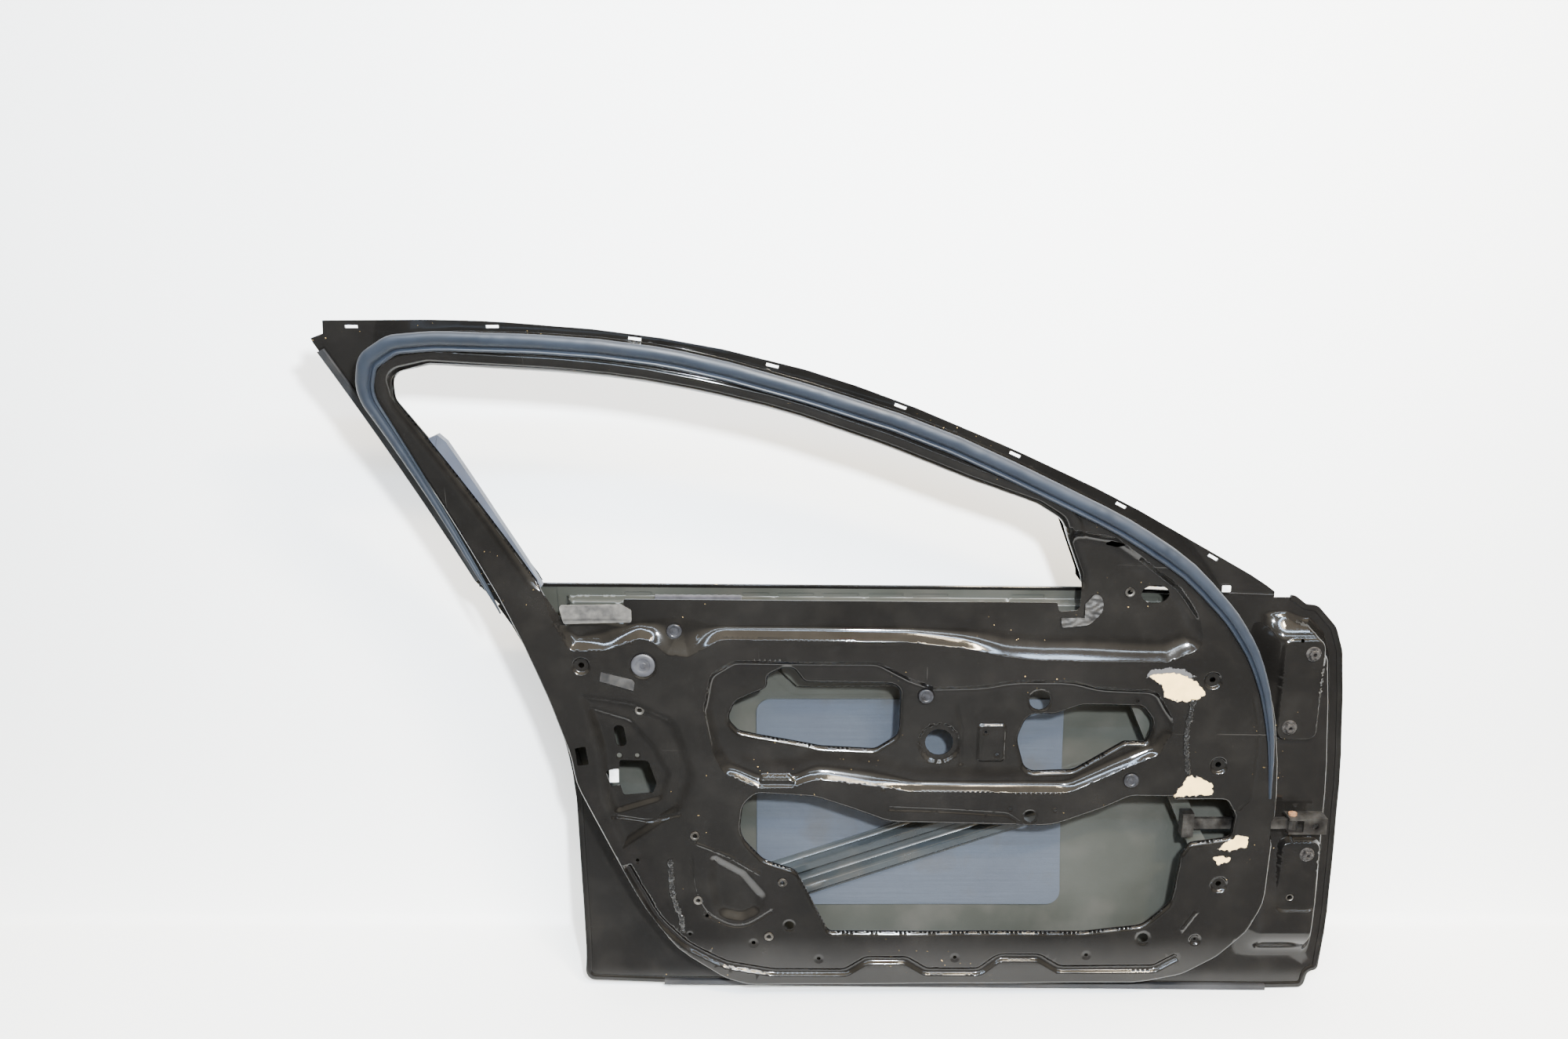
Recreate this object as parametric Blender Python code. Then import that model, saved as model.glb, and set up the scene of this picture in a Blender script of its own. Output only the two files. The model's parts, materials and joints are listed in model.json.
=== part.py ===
"""Front left door shell of a large saloon, stripped of glass, trim, latch, lock and mirror.

Metres, +Z up, +X towards the front of the car, +Y outboard, so the inner side faces -Y.
Outlines are tables of shares: the first number is a share of DOOR_LENGTH, the second a share of
DOOR_HEIGHT, and the third, where there is one, the corner's radius as a share of DOOR_HEIGHT.
The origin is on the face that the upper hinge bolts to.
"""
import math

import bmesh
import bpy
import numpy as np
from mathutils import Matrix, Vector
from mathutils.geometry import delaunay_2d_cdt

# Driving dimensions
DOOR_LENGTH = 1.382
DOOR_HEIGHT = 1.0
SKIN_BULGE = 0.085
SKIN_RADIUS = 1.54
FRAME_LEAN_RADIUS = 0.914
CENTRE_LENGTH_SHARE = 0.4277
SKIN_CROWN_SHARE = 0.38
FRAME_LEAN_SHARE = 0.60

# Sheets, seats and the panel's pressing
SKIN_SHEET = 0.0010
INNER_SHEET = 0.0014
RAIL_SHEET = 0.0012
PLATE_SHEET = 0.0020
SEAT_GAP = 0.0003
HEM_GAP = 0.0005
SOFT_SEAT_GAP = 0.0005
BENT_SEAT_GAP = 0.0009
MERGE_DISTANCE = 0.00001
ROW_STEP = 0.04
ROW_MARGIN = 0.016
ROW_BOW = 0.00002
WALL_RUN = 0.006
HEM_WIDTH = 0.0085
HEM_EDGE_ROUND = 0.0012
FLANGE_CLEARANCE = 0.0036
SHELF_LIFT = 0.026
SHELF_FLANGE = 0.018
SHELF_RUN = 0.014
SHELF_LENGTH_SHARES = (0.900, 0.934)
SHELF_LOW_SHARES = (0.050, 0.100)
SHELF_HIGH_SHARES = (0.540, 0.590)
LIP_WIDTH = 0.007
LIP_DEPTH = 0.006
WINDOW_LIP_WIDTH = 0.012
WINDOW_LIP_DEPTH = 0.010

# The frame's outer edge, from the rear belt corner over the top to the front belt corner
FRAME_EDGE_SHARES = [
    (0.1185, 0.627, 0), (0.000, 0.970, 0.002), (-0.001, 0.976, 0), (0.011, 0.982, 0), (0.013, 0.999, 0),
    (0.108, 1.000, 0.5), (0.165, 0.998, 0.6), (0.286, 0.984, 0.8), (0.410, 0.951, 0.8),
    (0.524, 0.898, 0.9), (0.646, 0.823, 0.9), (0.753, 0.751, 0.9), (0.904, 0.629, 0.4), (0.921, 0.611, 0)]
# The skin's hem, from the front belt corner down the front, along the bottom and up the rear
HEM_SHARES = [
    (0.921, 0.606, 0), (0.942, 0.606, 0.016), (0.955, 0.592, 0.010), (0.967, 0.590, 0.016),
    (0.989, 0.557, 0.03), (0.999, 0.520, 0.04), (1.006, 0.450, 0.3), (1.013, 0.335, 0.5),
    (1.012, 0.205, 0.5), (1.008, 0.102, 0.3), (0.9995, 0.030, 0.010), (0.989, 0.028, 0.012),
    (0.984, 0.005, 0.012), (0.943, 0.004, 0), (0.299, 0.012, 0), (0.215, 0.016, 0.014),
    (0.216, 0.058, 0.2), (0.211, 0.199, 0.3), (0.208, 0.310, 0.3), (0.199, 0.380, 0.3),
    (0.186, 0.440, 0.3), (0.168, 0.510, 0.3), (0.146, 0.575, 0.2), (0.122, 0.622, 0)]
BELT_LINE_SHARES = [(0.186, 0.623, 0), (0.727, 0.617, 0.2)]
PLATEAU_SHARES = [
    (0.252, 0.247, 0.2), (0.218, 0.351, 0.1), (0.214, 0.392, 0.1), (0.195, 0.474, 0.3),
    (0.171, 0.560, 0.3), (0.150, 0.625, 0.3), (0.048, 0.912, 0.05), (0.058, 0.952, 0.03),
    (0.083, 0.974, 0.04), (0.120, 0.981, 0.3), (0.206, 0.978, 0.5), (0.289, 0.969, 0.6),
    (0.358, 0.950, 0.6), (0.450, 0.912, 0.7), (0.560, 0.860, 0.7), (0.646, 0.804, 0.8),
    (0.753, 0.728, 0.6), (0.820, 0.668, 0.3), (0.868, 0.600, 0.2), (0.893, 0.548, 0.2),
    (0.910, 0.490, 0.3), (0.922, 0.415, 0.4), (0.927, 0.310, 0.5), (0.924, 0.165, 0.08),
    (0.909, 0.118, 0.05), (0.880, 0.078, 0.06), (0.845, 0.049, 0.06), (0.800, 0.036, 0.1),
    (0.391, 0.032, 0.06), (0.366, 0.043, 0.06), (0.316, 0.090, 0.12), (0.280, 0.164, 0.2)]
WINDOW_SHARES = [
    (0.190, 0.640, 0.006), (0.208, 0.593, 0.006), (0.270, 0.593, 0.003), (0.271, 0.618, 0.003),
    (0.695, 0.613, 0.003), (0.697, 0.600, 0.003), (0.717, 0.602, 0.006), (0.718, 0.646, 0.03),
    (0.693, 0.732, 0.03), (0.668, 0.754, 0.03), (0.604, 0.787, 0.3), (0.523, 0.834, 0.5),
    (0.427, 0.882, 0.5), (0.357, 0.907, 0.5), (0.287, 0.926, 0.5), (0.225, 0.935, 0.5),
    (0.110, 0.945, 0.02), (0.074, 0.934, 0.022), (0.073, 0.900, 0.02)]
OPENING_A_SHARES = [
    (0.426, 0.518, 0.012), (0.411, 0.506, 0.012), (0.411, 0.488, 0.01), (0.379, 0.468, 0.02),
    (0.371, 0.442, 0.015), (0.382, 0.424, 0.012), (0.402, 0.418, 0.02), (0.436, 0.409, 0.05),
    (0.465, 0.401, 0.05), (0.520, 0.397, 0.02), (0.543, 0.418, 0.02), (0.544, 0.494, 0.016),
    (0.448, 0.496, 0.015), (0.437, 0.518, 0.012)]
OPENING_B_SHARES = [
    (0.662, 0.412, 0.03), (0.672, 0.449, 0.02), (0.700, 0.449, 0.03), (0.726, 0.462, 0.03),
    (0.786, 0.461, 0.012), (0.799, 0.438, 0.02), (0.792, 0.409, 0.008), (0.770, 0.409, 0.008),
    (0.720, 0.366, 0.03), (0.672, 0.363, 0.018)]
OPENING_C_SHARES = [
    (0.400, 0.335, 0.02), (0.459, 0.330, 0.06), (0.496, 0.312, 0.1), (0.535, 0.291, 0.06),
    (0.700, 0.285, 0.08), (0.751, 0.312, 0.06), (0.778, 0.331, 0.03), (0.822, 0.330, 0),
    (0.823, 0.325, 0), (0.876, 0.325, 0.012), (0.886, 0.300, 0.01), (0.884, 0.268, 0.01),
    (0.842, 0.259, 0.01), (0.834, 0.240, 0.02), (0.828, 0.165, 0.03), (0.800, 0.128, 0.03),
    (0.740, 0.118, 0.01), (0.474, 0.118, 0.01), (0.440, 0.216, 0.02), (0.407, 0.232, 0.03),
    (0.382, 0.270, 0.04), (0.386, 0.318, 0.03)]
LATCH_OPENING_SHARES = [
    (0.248, 0.368, 0.003), (0.262, 0.372, 0.003), (0.262, 0.384, 0.003), (0.291, 0.383, 0.008),
    (0.299, 0.348, 0.008), (0.295, 0.334, 0.004), (0.265, 0.330, 0.004), (0.262, 0.346, 0),
    (0.253, 0.343, 0)]
EYE_HOLE_SHARES = [(0.735, 0.697, 0.004), (0.742, 0.703, 0.004), (0.758, 0.699, 0.002), (0.748, 0.693, 0.004)]
EDGE_NOTCH_SHARES = [(0.2185, 0.405, 0.002), (0.229, 0.408, 0.002), (0.232, 0.381, 0.002), (0.2205, 0.379, 0.002)]

# Recesses of the inner panel: outline, depth and flank
UPPER_RECESS_SHARES = [
    (0.222, 0.552, 0.01), (0.254, 0.549, 0.03), (0.286, 0.566, 0.01), (0.300, 0.561, 0.01),
    (0.315, 0.540, 0.012), (0.336, 0.538, 0.012), (0.366, 0.562, 0.03), (0.550, 0.560, 0.2),
    (0.609, 0.550, 0.2), (0.647, 0.538, 0.1), (0.683, 0.533, 0.1), (0.805, 0.531, 0.02),
    (0.838, 0.556, 0.02), (0.826, 0.602, 0.06), (0.811, 0.634, 0.06), (0.772, 0.674, 0.05),
    (0.745, 0.706, 0.02), (0.690, 0.715, 0), (0.300, 0.680, 0), (0.205, 0.640, 0.01), (0.206, 0.600, 0.01)]
CENTRE_RECESS_SHARES = [
    (0.350, 0.463, 0.02), (0.356, 0.514, 0.02), (0.377, 0.532, 0.02), (0.522, 0.531, 0.03),
    (0.553, 0.511, 0.04), (0.577, 0.499, 0.04), (0.624, 0.496, 0.1), (0.655, 0.505, 0.1),
    (0.715, 0.504, 0.1), (0.738, 0.494, 0.1), (0.800, 0.489, 0.02), (0.818, 0.440, 0.03),
    (0.803, 0.394, 0.02), (0.780, 0.390, 0.04), (0.716, 0.338, 0.04), (0.556, 0.340, 0.1),
    (0.459, 0.359, 0.08), (0.436, 0.346, 0.008), (0.402, 0.346, 0.008), (0.368, 0.366, 0.03)]
LATCH_OUTER_SHARES = [
    (0.222, 0.490, 0.008), (0.278, 0.478, 0.03), (0.322, 0.450, 0.04), (0.342, 0.364, 0.04),
    (0.327, 0.310, 0.04), (0.262, 0.246, 0.006), (0.241, 0.330, 0.06), (0.2375, 0.400, 0.05)]
LATCH_INNER_SHARES = [
    (0.230, 0.470, 0.006), (0.276, 0.449, 0.02), (0.299, 0.410, 0.03), (0.316, 0.364, 0.02),
    (0.307, 0.323, 0.02), (0.256, 0.301, 0.01), (0.247, 0.340, 0.03), (0.244, 0.400, 0.03)]
SPEAKER_RECESS_SHARES = [
    (0.349, 0.252, 0.012), (0.390, 0.219, 0.02), (0.412, 0.180, 0.02), (0.410, 0.150, 0.03),
    (0.385, 0.132, 0.03), (0.354, 0.142, 0.03), (0.347, 0.200, 0.06)]
SILL_BEAD_SHARES = [
    (0.268, 0.221, 0), (0.297, 0.141, 0.1), (0.326, 0.098, 0.08), (0.366, 0.067, 0.08),
    (0.416, 0.054, 0.05), (0.492, 0.054, 0.02), (0.514, 0.074, 0.02), (0.555, 0.074, 0.02),
    (0.576, 0.055, 0.02), (0.632, 0.055, 0.02), (0.652, 0.078, 0.02), (0.694, 0.078, 0.02),
    (0.715, 0.059, 0.02), (0.815, 0.060, 0.02), (0.836, 0.078, 0)]
UPPER_RECESS = (0.012, 0.017)
CENTRE_RECESS = (0.010, 0.010)
LATCH_RECESS = (0.004, 0.005)
SPEAKER_RECESS = (0.007, 0.010)
SILL_BEAD = (0.005, 0.005)
SILL_BEAD_HALF_WIDTH = 0.002
HOLE_COLLAR = (0.004, 0.006)
SCREW_DIMPLE = (0.004, 0.005)
BOSS_STEP = (-0.003, 0.004)

# Round holes, dimples and the bosses in the inner panel: place shares and radius
SPEAKER_HOLE_SHARES = (0.584, 0.407)
SPEAKER_HOLE_RADIUS = 0.0195
HOLE_COLLAR_RADIUS = 0.031
ROUND_HOLES = [
    ((0.683, 0.471), 0.0145), ((0.677, 0.301), 0.0085), ((0.433, 0.130), 0.0065), ((0.801, 0.109), 0.0075),
    ((0.262, 0.391), 0.0035), ((0.280, 0.391), 0.0030)]
MIRROR_HOLE_SHARES = (0.790, 0.625)
MIRROR_HOLE_LENGTH = 0.038
MIRROR_HOLE_HEIGHT = 0.026
LATCH_SLOT_SHARES = [(0.262, 0.436), (0.265, 0.405)]
LATCH_SLOT_WIDTH_SHARE = 0.014
SCREW_DIMPLE_SHARES = [(0.228, 0.526), (0.851, 0.505), (0.864, 0.379), (0.875, 0.195)]
SCREW_DIMPLE_RADIUS = 0.014
SCREW_HOLE_RADIUS = 0.0040
BOSS_CENTRE_SHARES = (0.636, 0.408)
BOSS_LENGTH = 0.043
BOSS_HEIGHT = 0.060
BOSS_CORNER = 0.006

# Trim slots along the frame's top flange
TRIM_SLOT_SHARES = [0.038, 0.165, 0.293, 0.418, 0.538, 0.650, 0.758, 0.856]
TRIM_SLOT_LENGTH = 0.016
TRIM_SLOT_HEIGHT = 0.004
TRIM_SLOT_INSET = 0.0055

# Hinge faces: flat pads pressed up from the front shelf
HINGE_PAD_UPPER_SHARES = (0.9525, 0.471)
HINGE_PAD_LOWER_SHARES = (0.9675, 0.186)
HINGE_PAD_WIDTH = 0.052
HINGE_PAD_UPPER_HEIGHT_SHARE = 0.144
HINGE_PAD_LOWER_HEIGHT_SHARE = 0.104
HINGE_PAD_CORNER = 0.010
HINGE_PAD_FLANK = 0.006
HINGE_PAD_DEPTH_UPPER = 0.047
HINGE_PAD_DEPTH_LOWER = 0.040
HINGE_BOLTS_UPPER_SHARES = [(0.961, 0.526), (0.944, 0.416)]
HINGE_BOLTS_LOWER_SHARES = [(0.974, 0.221), (0.961, 0.151)]
HINGE_BOLT_HOLE = 0.0060
HINGE_PLATE_MARGIN = 0.004
HINGE_PLATE_SHEET = 0.0035
HINGE_NUT_RADIUS = 0.0095
HINGE_NUT_HEIGHT = 0.006
HINGE_NUT_BORE = 0.0040

# Belt rails
OUTER_RAIL_SHARES = [
    (0.200, 0.6185, 0), (0.727, 0.6125, 0), (0.858, 0.605, 0), (0.852, 0.520, 0.02), (0.760, 0.472, 0.05),
    (0.560, 0.453, 0.05), (0.436, 0.451, 0.02), (0.414, 0.482, 0.02), (0.395, 0.566, 0.02), (0.200, 0.568, 0.01)]
OUTER_RAIL_FLANGE = 0.012
OUTER_RAIL_STEP_RUN = 0.006
OUTER_RAIL_DEPTH = 0.013
RAIL_SLOT_SHARES = [(0.267, 0.295), (0.385, 0.413), (0.421, 0.458), (0.466, 0.503), (0.512, 0.548),
                    (0.556, 0.593), (0.656, 0.690), (0.776, 0.806)]
RAIL_SLOT_HEIGHT = 0.006
RAIL_SLOT_DROP = 0.0275
INNER_RAIL_SPAN_SHARES = (0.285, 0.686)
INNER_RAIL_TOP_SHARE = 0.601
INNER_RAIL_HEIGHT = 0.052
INNER_RAIL_FLANGE = 0.010
INNER_RAIL_STEP_RUN = 0.008
INNER_RAIL_DEPTH = 0.010

# Side impact beam
BEAM_START_SHARES = (0.362, 0.1355)
BEAM_END_SHARES = (0.905, 0.384)
BEAM_WIDTH = 0.064
BEAM_SHEET = 0.0018
BEAM_RIB_DEPTH = 0.016
BEAM_FACE_CLEARANCE = 0.0030
BEAM_SECTION_SHARES = [(-0.5, 0), (-0.40, 0), (-0.33, 1), (-0.17, 1), (-0.08, 0.15), (0.08, 0.15),
                       (0.17, 1), (0.33, 1), (0.40, 0), (0.5, 0)]
BEAM_BRACKET_LENGTH = 0.085
BEAM_BRACKET_WIDTH = 0.100
BEAM_BRACKET_OVERLAP = 0.035
BEAM_BRACKET_SHEET = 0.0026

# Damping pad, and the handle plate on the skin
PAD_OUTLINE_SHARES = [(0.399, 0.444, 0.02), (0.718, 0.444, 0.02), (0.722, 0.128, 0.02), (0.399, 0.128, 0.02)]
PAD_THICKNESS = 0.0022
HANDLE_DISH_SHARES = (0.292, 0.514)
HANDLE_DISH_LENGTH_SHARE = 0.512
HANDLE_DISH_HEIGHT = 0.056
HANDLE_DISH_DEPTH = 0.014
HANDLE_DISH_FLANK = 0.014
HANDLE_SLOT_LENGTH = 0.022
HANDLE_SLOT_HEIGHT = 0.014
HANDLE_SLOT_OFFSET_SHARE = 0.381
LOCK_HOLE_RADIUS = 0.011
LOCK_HOLE_OFFSET_SHARE = 0.372
HANDLE_PLATE_LENGTH = 0.215
HANDLE_PLATE_HEIGHT = 0.086
HANDLE_PLATE_RIM = 0.010

# Backing plates behind the inner panel
LATCH_PLATE_SHARES = [(0.254, 0.446, 0.006), (0.273, 0.440, 0.01), (0.291, 0.410, 0.02), (0.307, 0.364, 0.02),
                      (0.300, 0.323, 0.01), (0.262, 0.313, 0.01), (0.252, 0.345, 0.02), (0.250, 0.400, 0.02)]
MIRROR_PLATE_SHARES = [(0.748, 0.596, 0.01), (0.806, 0.590, 0.01), (0.795, 0.636, 0.02), (0.757, 0.668, 0.01),
                       (0.740, 0.640, 0.01)]
PLATE_HOLE_MARGIN = 0.0018

# Front guide rail of the window
GUIDE_TOP_SHARES = (0.7725, 0.503)
GUIDE_FOOT_SHARES = (0.8575, 0.238)
GUIDE_WIDTH = 0.022
GUIDE_DEPTH = 0.012
GUIDE_SHEET = 0.0014
GUIDE_TAB_LENGTH = 0.020
GUIDE_LIFT = 0.038

# Weather seal round the frame
SEAL_PATH_SHARES = [
    (0.187, 0.470, 0), (0.166, 0.548, 0.3), (0.144, 0.617, 0.3), (0.045, 0.910, 0.06), (0.055, 0.955, 0.03),
    (0.081, 0.978, 0.04), (0.120, 0.983, 0.3), (0.206, 0.979, 0.5), (0.289, 0.970, 0.6), (0.358, 0.951, 0.6),
    (0.450, 0.913, 0.7), (0.560, 0.861, 0.7), (0.646, 0.804, 0.8), (0.753, 0.729, 0.6), (0.820, 0.667, 0.3),
    (0.866, 0.598, 0.2), (0.890, 0.547, 0.2), (0.906, 0.490, 0.3), (0.917, 0.415, 0.4), (0.921, 0.330, 0)]
SEAL_WIDTH = 0.026
SEAL_END_WIDTH = 0.012
SEAL_HEIGHT = 0.011
SEAL_TAPER = 0.22
SEAL_INSET = 0.004
SEAL_SECTION_SHARES = [(-0.30, 0), (-0.50, 0.45), (-0.36, 0.92), (-0.10, 0.74), (0.12, 1.0), (0.42, 0.86),
                       (0.50, 0.35), (0.30, 0)]

# Small seals, foams and strips
GLASS_RUN_SHARES = [(0.080, 0.902, 0), (0.175, 0.652, 0)]
GLASS_RUN_WIDTH = 0.024
GLASS_RUN_HEIGHT = 0.014
GLASS_RUN_SECTION_SHARES = [(-0.5, 0), (-0.5, 1.0), (-0.36, 1.0), (-0.30, 0.34), (0.30, 0.34), (0.36, 1.0),
                            (0.5, 1.0), (0.5, 0)]
REAR_TRIM_SHARES = [(0.006, 0.960, 0), (0.1225, 0.630, 0)]
REAR_TRIM_WIDTH = 0.011
REAR_TRIM_HEIGHT = 0.004
FLAT_STRIP_SECTION_SHARES = [(-0.5, 0), (-0.5, 0.6), (-0.38, 1.0), (0.38, 1.0), (0.5, 0.6), (0.5, 0)]
SILL_STRIP_SPAN_SHARES = (0.300, 0.942)
SILL_STRIP_HEIGHT = 0.0085
SILL_STRIP_DEPTH = 0.005
SILL_STRIP_RISE = 0.0035
REAR_FOAM_SHARES = [(0.2245, 0.589, 0), (0.286, 0.590, 0), (0.286, 0.576, 0.004), (0.2255, 0.576, 0.004)]
FRONT_TAPE_SHARES = [(0.722, 0.612, 0), (0.734, 0.632, 0.01), (0.742, 0.606, 0.02), (0.728, 0.582, 0.02),
                     (0.700, 0.578, 0.004), (0.699, 0.592, 0), (0.722, 0.592, 0)]
TAPE_STRIP_SHARES = [(0.2475, 0.518, 0), (0.281, 0.506, 0.006), (0.279, 0.491, 0), (0.246, 0.505, 0)]
FOAM_THICKNESS = 0.004
TAPE_THICKNESS = 0.0012
FELT_SPAN_SHARES = (0.299, 0.385)
FELT_HEIGHT = 0.011
FELT_DEPTH = 0.006
SEALANT_PATH_SHARES = [
    [(0.833, 0.478, 0), (0.828, 0.420, 0.1), (0.834, 0.366, 0)],
    [(0.3115, 0.235, 0), (0.3125, 0.178, 0.1), (0.322, 0.142, 0.03), (0.3225, 0.120, 0)]]
SEALANT_WIDTH = 0.007
SEALANT_HEIGHT = 0.0025
ROUND_SECTION_SHARES = [(-0.5, 0), (-0.38, 0.7), (0, 1.0), (0.38, 0.7), (0.5, 0)]

# Turned pieces: plugs, grommets, nuts, clip
ACCESS_PLUG_SHARES = (0.289, 0.527)
ACCESS_PLUG_RADIUS = 0.0165
ACCESS_PLUG_HOLE = 0.0125
GROMMET_SHARES = [(0.320, 0.574), (0.569, 0.478), (0.777, 0.357)]
GROMMET_RADIUS = 0.0105
GROMMET_HOLE = 0.0065
PLUG_FLANGE = 0.0022
PLUG_DISH = 0.0012
PLUG_STEM = 0.006
RIVET_NUT_SHARES = [(0.284, 0.460), (0.765, 0.628), (0.426, 0.199), (0.412, 0.113), (0.339, 0.170), (0.337, 0.272)]
RIVET_NUT_RADIUS = 0.0068
RIVET_NUT_BORE = 0.0032
RIVET_NUT_HOLE = 0.0052
RIVET_NUT_FLANGE = 0.0014
RIVET_NUT_LENGTH = 0.009

# Door check
CHECK_HEIGHT_SHARE = 0.279
CHECK_DEPTH = 0.024
CHECK_EDGE_SHARE = 0.9265
CHECK_NOTCH_BACK = 0.006
CHECK_NOTCH_FRONT = 0.008
CHECK_NOTCH_HEIGHT = 0.032
CHECK_ARM_HEIGHT = 0.016
CHECK_ARM_THICKNESS = 0.006
CHECK_ARM_TAIL = 0.117
CHECK_PIN_REACH = 0.033
CHECK_EYE_RADIUS = 0.008
CHECK_PIN_RADIUS = 0.0036
CHECK_PIN_CLEARANCE = 0.00035
CHECK_PIN_HEAD_RADIUS = 0.0060
CHECK_PIN_HEAD_HEIGHT = 0.0030
CHECK_HOUSING_LENGTH = 0.036
CHECK_HOUSING_HEIGHT = 0.044
CHECK_HOUSING_DEPTH = 0.038
CHECK_HOUSING_BACK = 0.010
CHECK_SLOT_CLEARANCE = 0.0006
CHECK_STOP_LENGTH = 0.016
CHECK_STOP_HEIGHT = 0.036
CHECK_STOP_THICKNESS = 0.018
CHECK_STOP_SLOT_CLEARANCE = 0.0003
CHECK_EAR_SHEET = 0.0035
CHECK_EAR_CLEARANCE = 0.0008
CHECK_EAR_REACH = 0.046
CHECK_EAR_DEPTH = 0.024
CHECK_WEB_START = 0.013
CHECK_BRACKET_HOLE = 0.0045

# Facets
CORNER_STEP = math.radians(40)
RING_SEGMENTS = 12
SMALL_SEGMENTS = 8
SHARP_ANGLE = math.radians(35)


def place(share):
    """Drawing place (x, z) of a pair of shares."""
    return ((share[0] - CENTRE_LENGTH_SHARE) * DOOR_LENGTH, share[1] * DOOR_HEIGHT)


def skin_y(z):
    """Outer face of the skin: a barrel about a horizontal axis."""
    return SKIN_BULGE - (z - SKIN_CROWN_SHARE * DOOR_HEIGHT) ** 2 / (2 * SKIN_RADIUS)


def lean_y(z):
    """Main face of the inner panel: upright below the belt, leaning inboard above it."""
    rise = np.maximum(0, z - FRAME_LEAN_SHARE * DOOR_HEIGHT)
    return -rise ** 2 / (2 * FRAME_LEAN_RADIUS)


def flange_y(z):
    """Outboard face of the inner panel's flange, which lies on the skin."""
    return skin_y(z) - SKIN_SHEET - HEM_GAP


def smooth(value, low, high):
    """0 below low, 1 above high, and an S between."""
    t = np.clip((value - low) / (high - low), 0, 1)
    return t * t * (3 - 2 * t)


def rounded(shares, closed=True):
    """Points of a table of shares, with each corner turned by an arc of its own radius."""
    corners = [Vector(place(row)) for row in shares]
    radii = [row[2] * DOOR_HEIGHT for row in shares]
    return fillet(corners, radii, closed)


def fillet(corners, radii, closed=True):
    """Points of a polygon whose corners are arcs no longer than the sides allow."""
    points = []
    count = len(corners)
    for i, corner in enumerate(corners):
        at_end = not closed and i in (0, count - 1)
        if at_end or radii[i] == 0:
            points.append((corner.x, corner.y))
            continue
        back = corners[i - 1] - corner
        ahead = corners[(i + 1) % count] - corner
        turn = math.pi - back.angle(ahead)
        reach = radii[i] * math.tan(turn / 2)
        room = min(back.length, ahead.length) * 0.48
        reach = min(reach, room)
        radius = reach / math.tan(turn / 2)
        start = corner + back.normalized() * reach
        end = corner + ahead.normalized() * reach
        middle = corner + (back.normalized() + ahead.normalized()).normalized() * (radius / math.cos(turn / 2))
        steps = max(1, math.ceil(turn / CORNER_STEP))
        first = start - middle
        last = end - middle
        sweep = first.angle_signed(last)
        for k in range(steps + 1):
            arm = first.copy()
            arm.rotate(Matrix.Rotation(-sweep * k / steps, 2))
            points.append((middle.x + arm.x, middle.y + arm.y))
    return points


def densify(points, closed=True):
    """Splits each side where it crosses a row, so that the sheet can follow the barrel."""
    dense = []
    count = len(points)
    for i, point in enumerate(points):
        dense.append(point)
        if not closed and i == count - 1:
            break
        ahead = points[(i + 1) % count]
        rise = ahead[1] - point[1]
        run = ahead[0] - point[0]
        length = max(math.hypot(run, rise), MERGE_DISTANCE)
        low, high = sorted((point[1], ahead[1]))
        rows = [k * ROW_STEP for k in range(math.ceil(low / ROW_STEP), math.floor(high / ROW_STEP) + 1)]
        shares = sorted((row - point[1]) / rise for row in rows if rise != 0)
        for share in shares:
            if ROW_STEP * 0.2 < share * length < length - ROW_STEP * 0.2:
                bow = ROW_BOW * share * (1 - share)
                dense.append((point[0] + run * share - rise / length * bow,
                              point[1] + rise * share + run / length * bow))
    return dense


def ellipse(centre, half_length, half_height, segments):
    """Points of an ellipse about a drawing place."""
    points = []
    for k in range(segments):
        angle = 2 * math.pi * k / segments
        points.append((centre[0] + half_length * math.cos(angle), centre[1] + half_height * math.sin(angle)))
    return points


def box_loop(centre, length, height, corner):
    """A rectangle with rounded corners about a drawing place."""
    corners = []
    for side, level in ((-1, -1), (1, -1), (1, 1), (-1, 1)):
        corners.append(Vector((centre[0] + side * length / 2, centre[1] + level * height / 2)))
    return fillet(corners, [corner] * 4)


def turned_area(loop):
    """Twice the signed area of a loop: positive when it runs anticlockwise."""
    array = np.array(loop)
    ahead = np.roll(array, -1, axis=0)
    return float(np.sum(array[:, 0] * ahead[:, 1] - ahead[:, 0] * array[:, 1]))


def inset(loop, distance, closed=True):
    """A loop moved inwards by a distance, or outwards if it is negative; a path moves to its left."""
    array = np.array(loop)
    if closed:
        before = np.roll(array, 1, axis=0)
        after = np.roll(array, -1, axis=0)
        side = 1 if turned_area(loop) > 0 else -1
    else:
        before = np.vstack([2 * array[0] - array[1], array[:-1]])
        after = np.vstack([array[1:], 2 * array[-1] - array[-2]])
        side = 1
    back = array - before
    ahead = after - array
    back = back / np.maximum(np.linalg.norm(back, axis=1, keepdims=True), MERGE_DISTANCE)
    ahead = ahead / np.maximum(np.linalg.norm(ahead, axis=1, keepdims=True), MERGE_DISTANCE)
    normal = np.stack([-(back[:, 1] + ahead[:, 1]), back[:, 0] + ahead[:, 0]], axis=1)
    length = np.linalg.norm(normal, axis=1, keepdims=True)
    normal = normal / np.maximum(length, 0.2)
    stretch = 1 / np.maximum(length / 2, 0.6)
    moved = array + side * distance * normal * stretch
    return [tuple(point) for point in moved.tolist()]


def path_distance(points, path, closed):
    """Distance from each point to a path."""
    places = np.asarray(points, dtype=float)[:, None, :]
    start = np.array(path if closed else path[:-1])[None]
    end = np.roll(np.array(path), -1, axis=0)[None] if closed else np.array(path[1:])[None]
    run = end - start
    square = np.maximum(np.sum(run * run, axis=2), MERGE_DISTANCE ** 2)
    share = np.clip(np.sum((places - start) * run, axis=2) / square, 0, 1)
    nearest = start + run * share[..., None]
    return np.min(np.linalg.norm(places - nearest, axis=2), axis=1)


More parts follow.
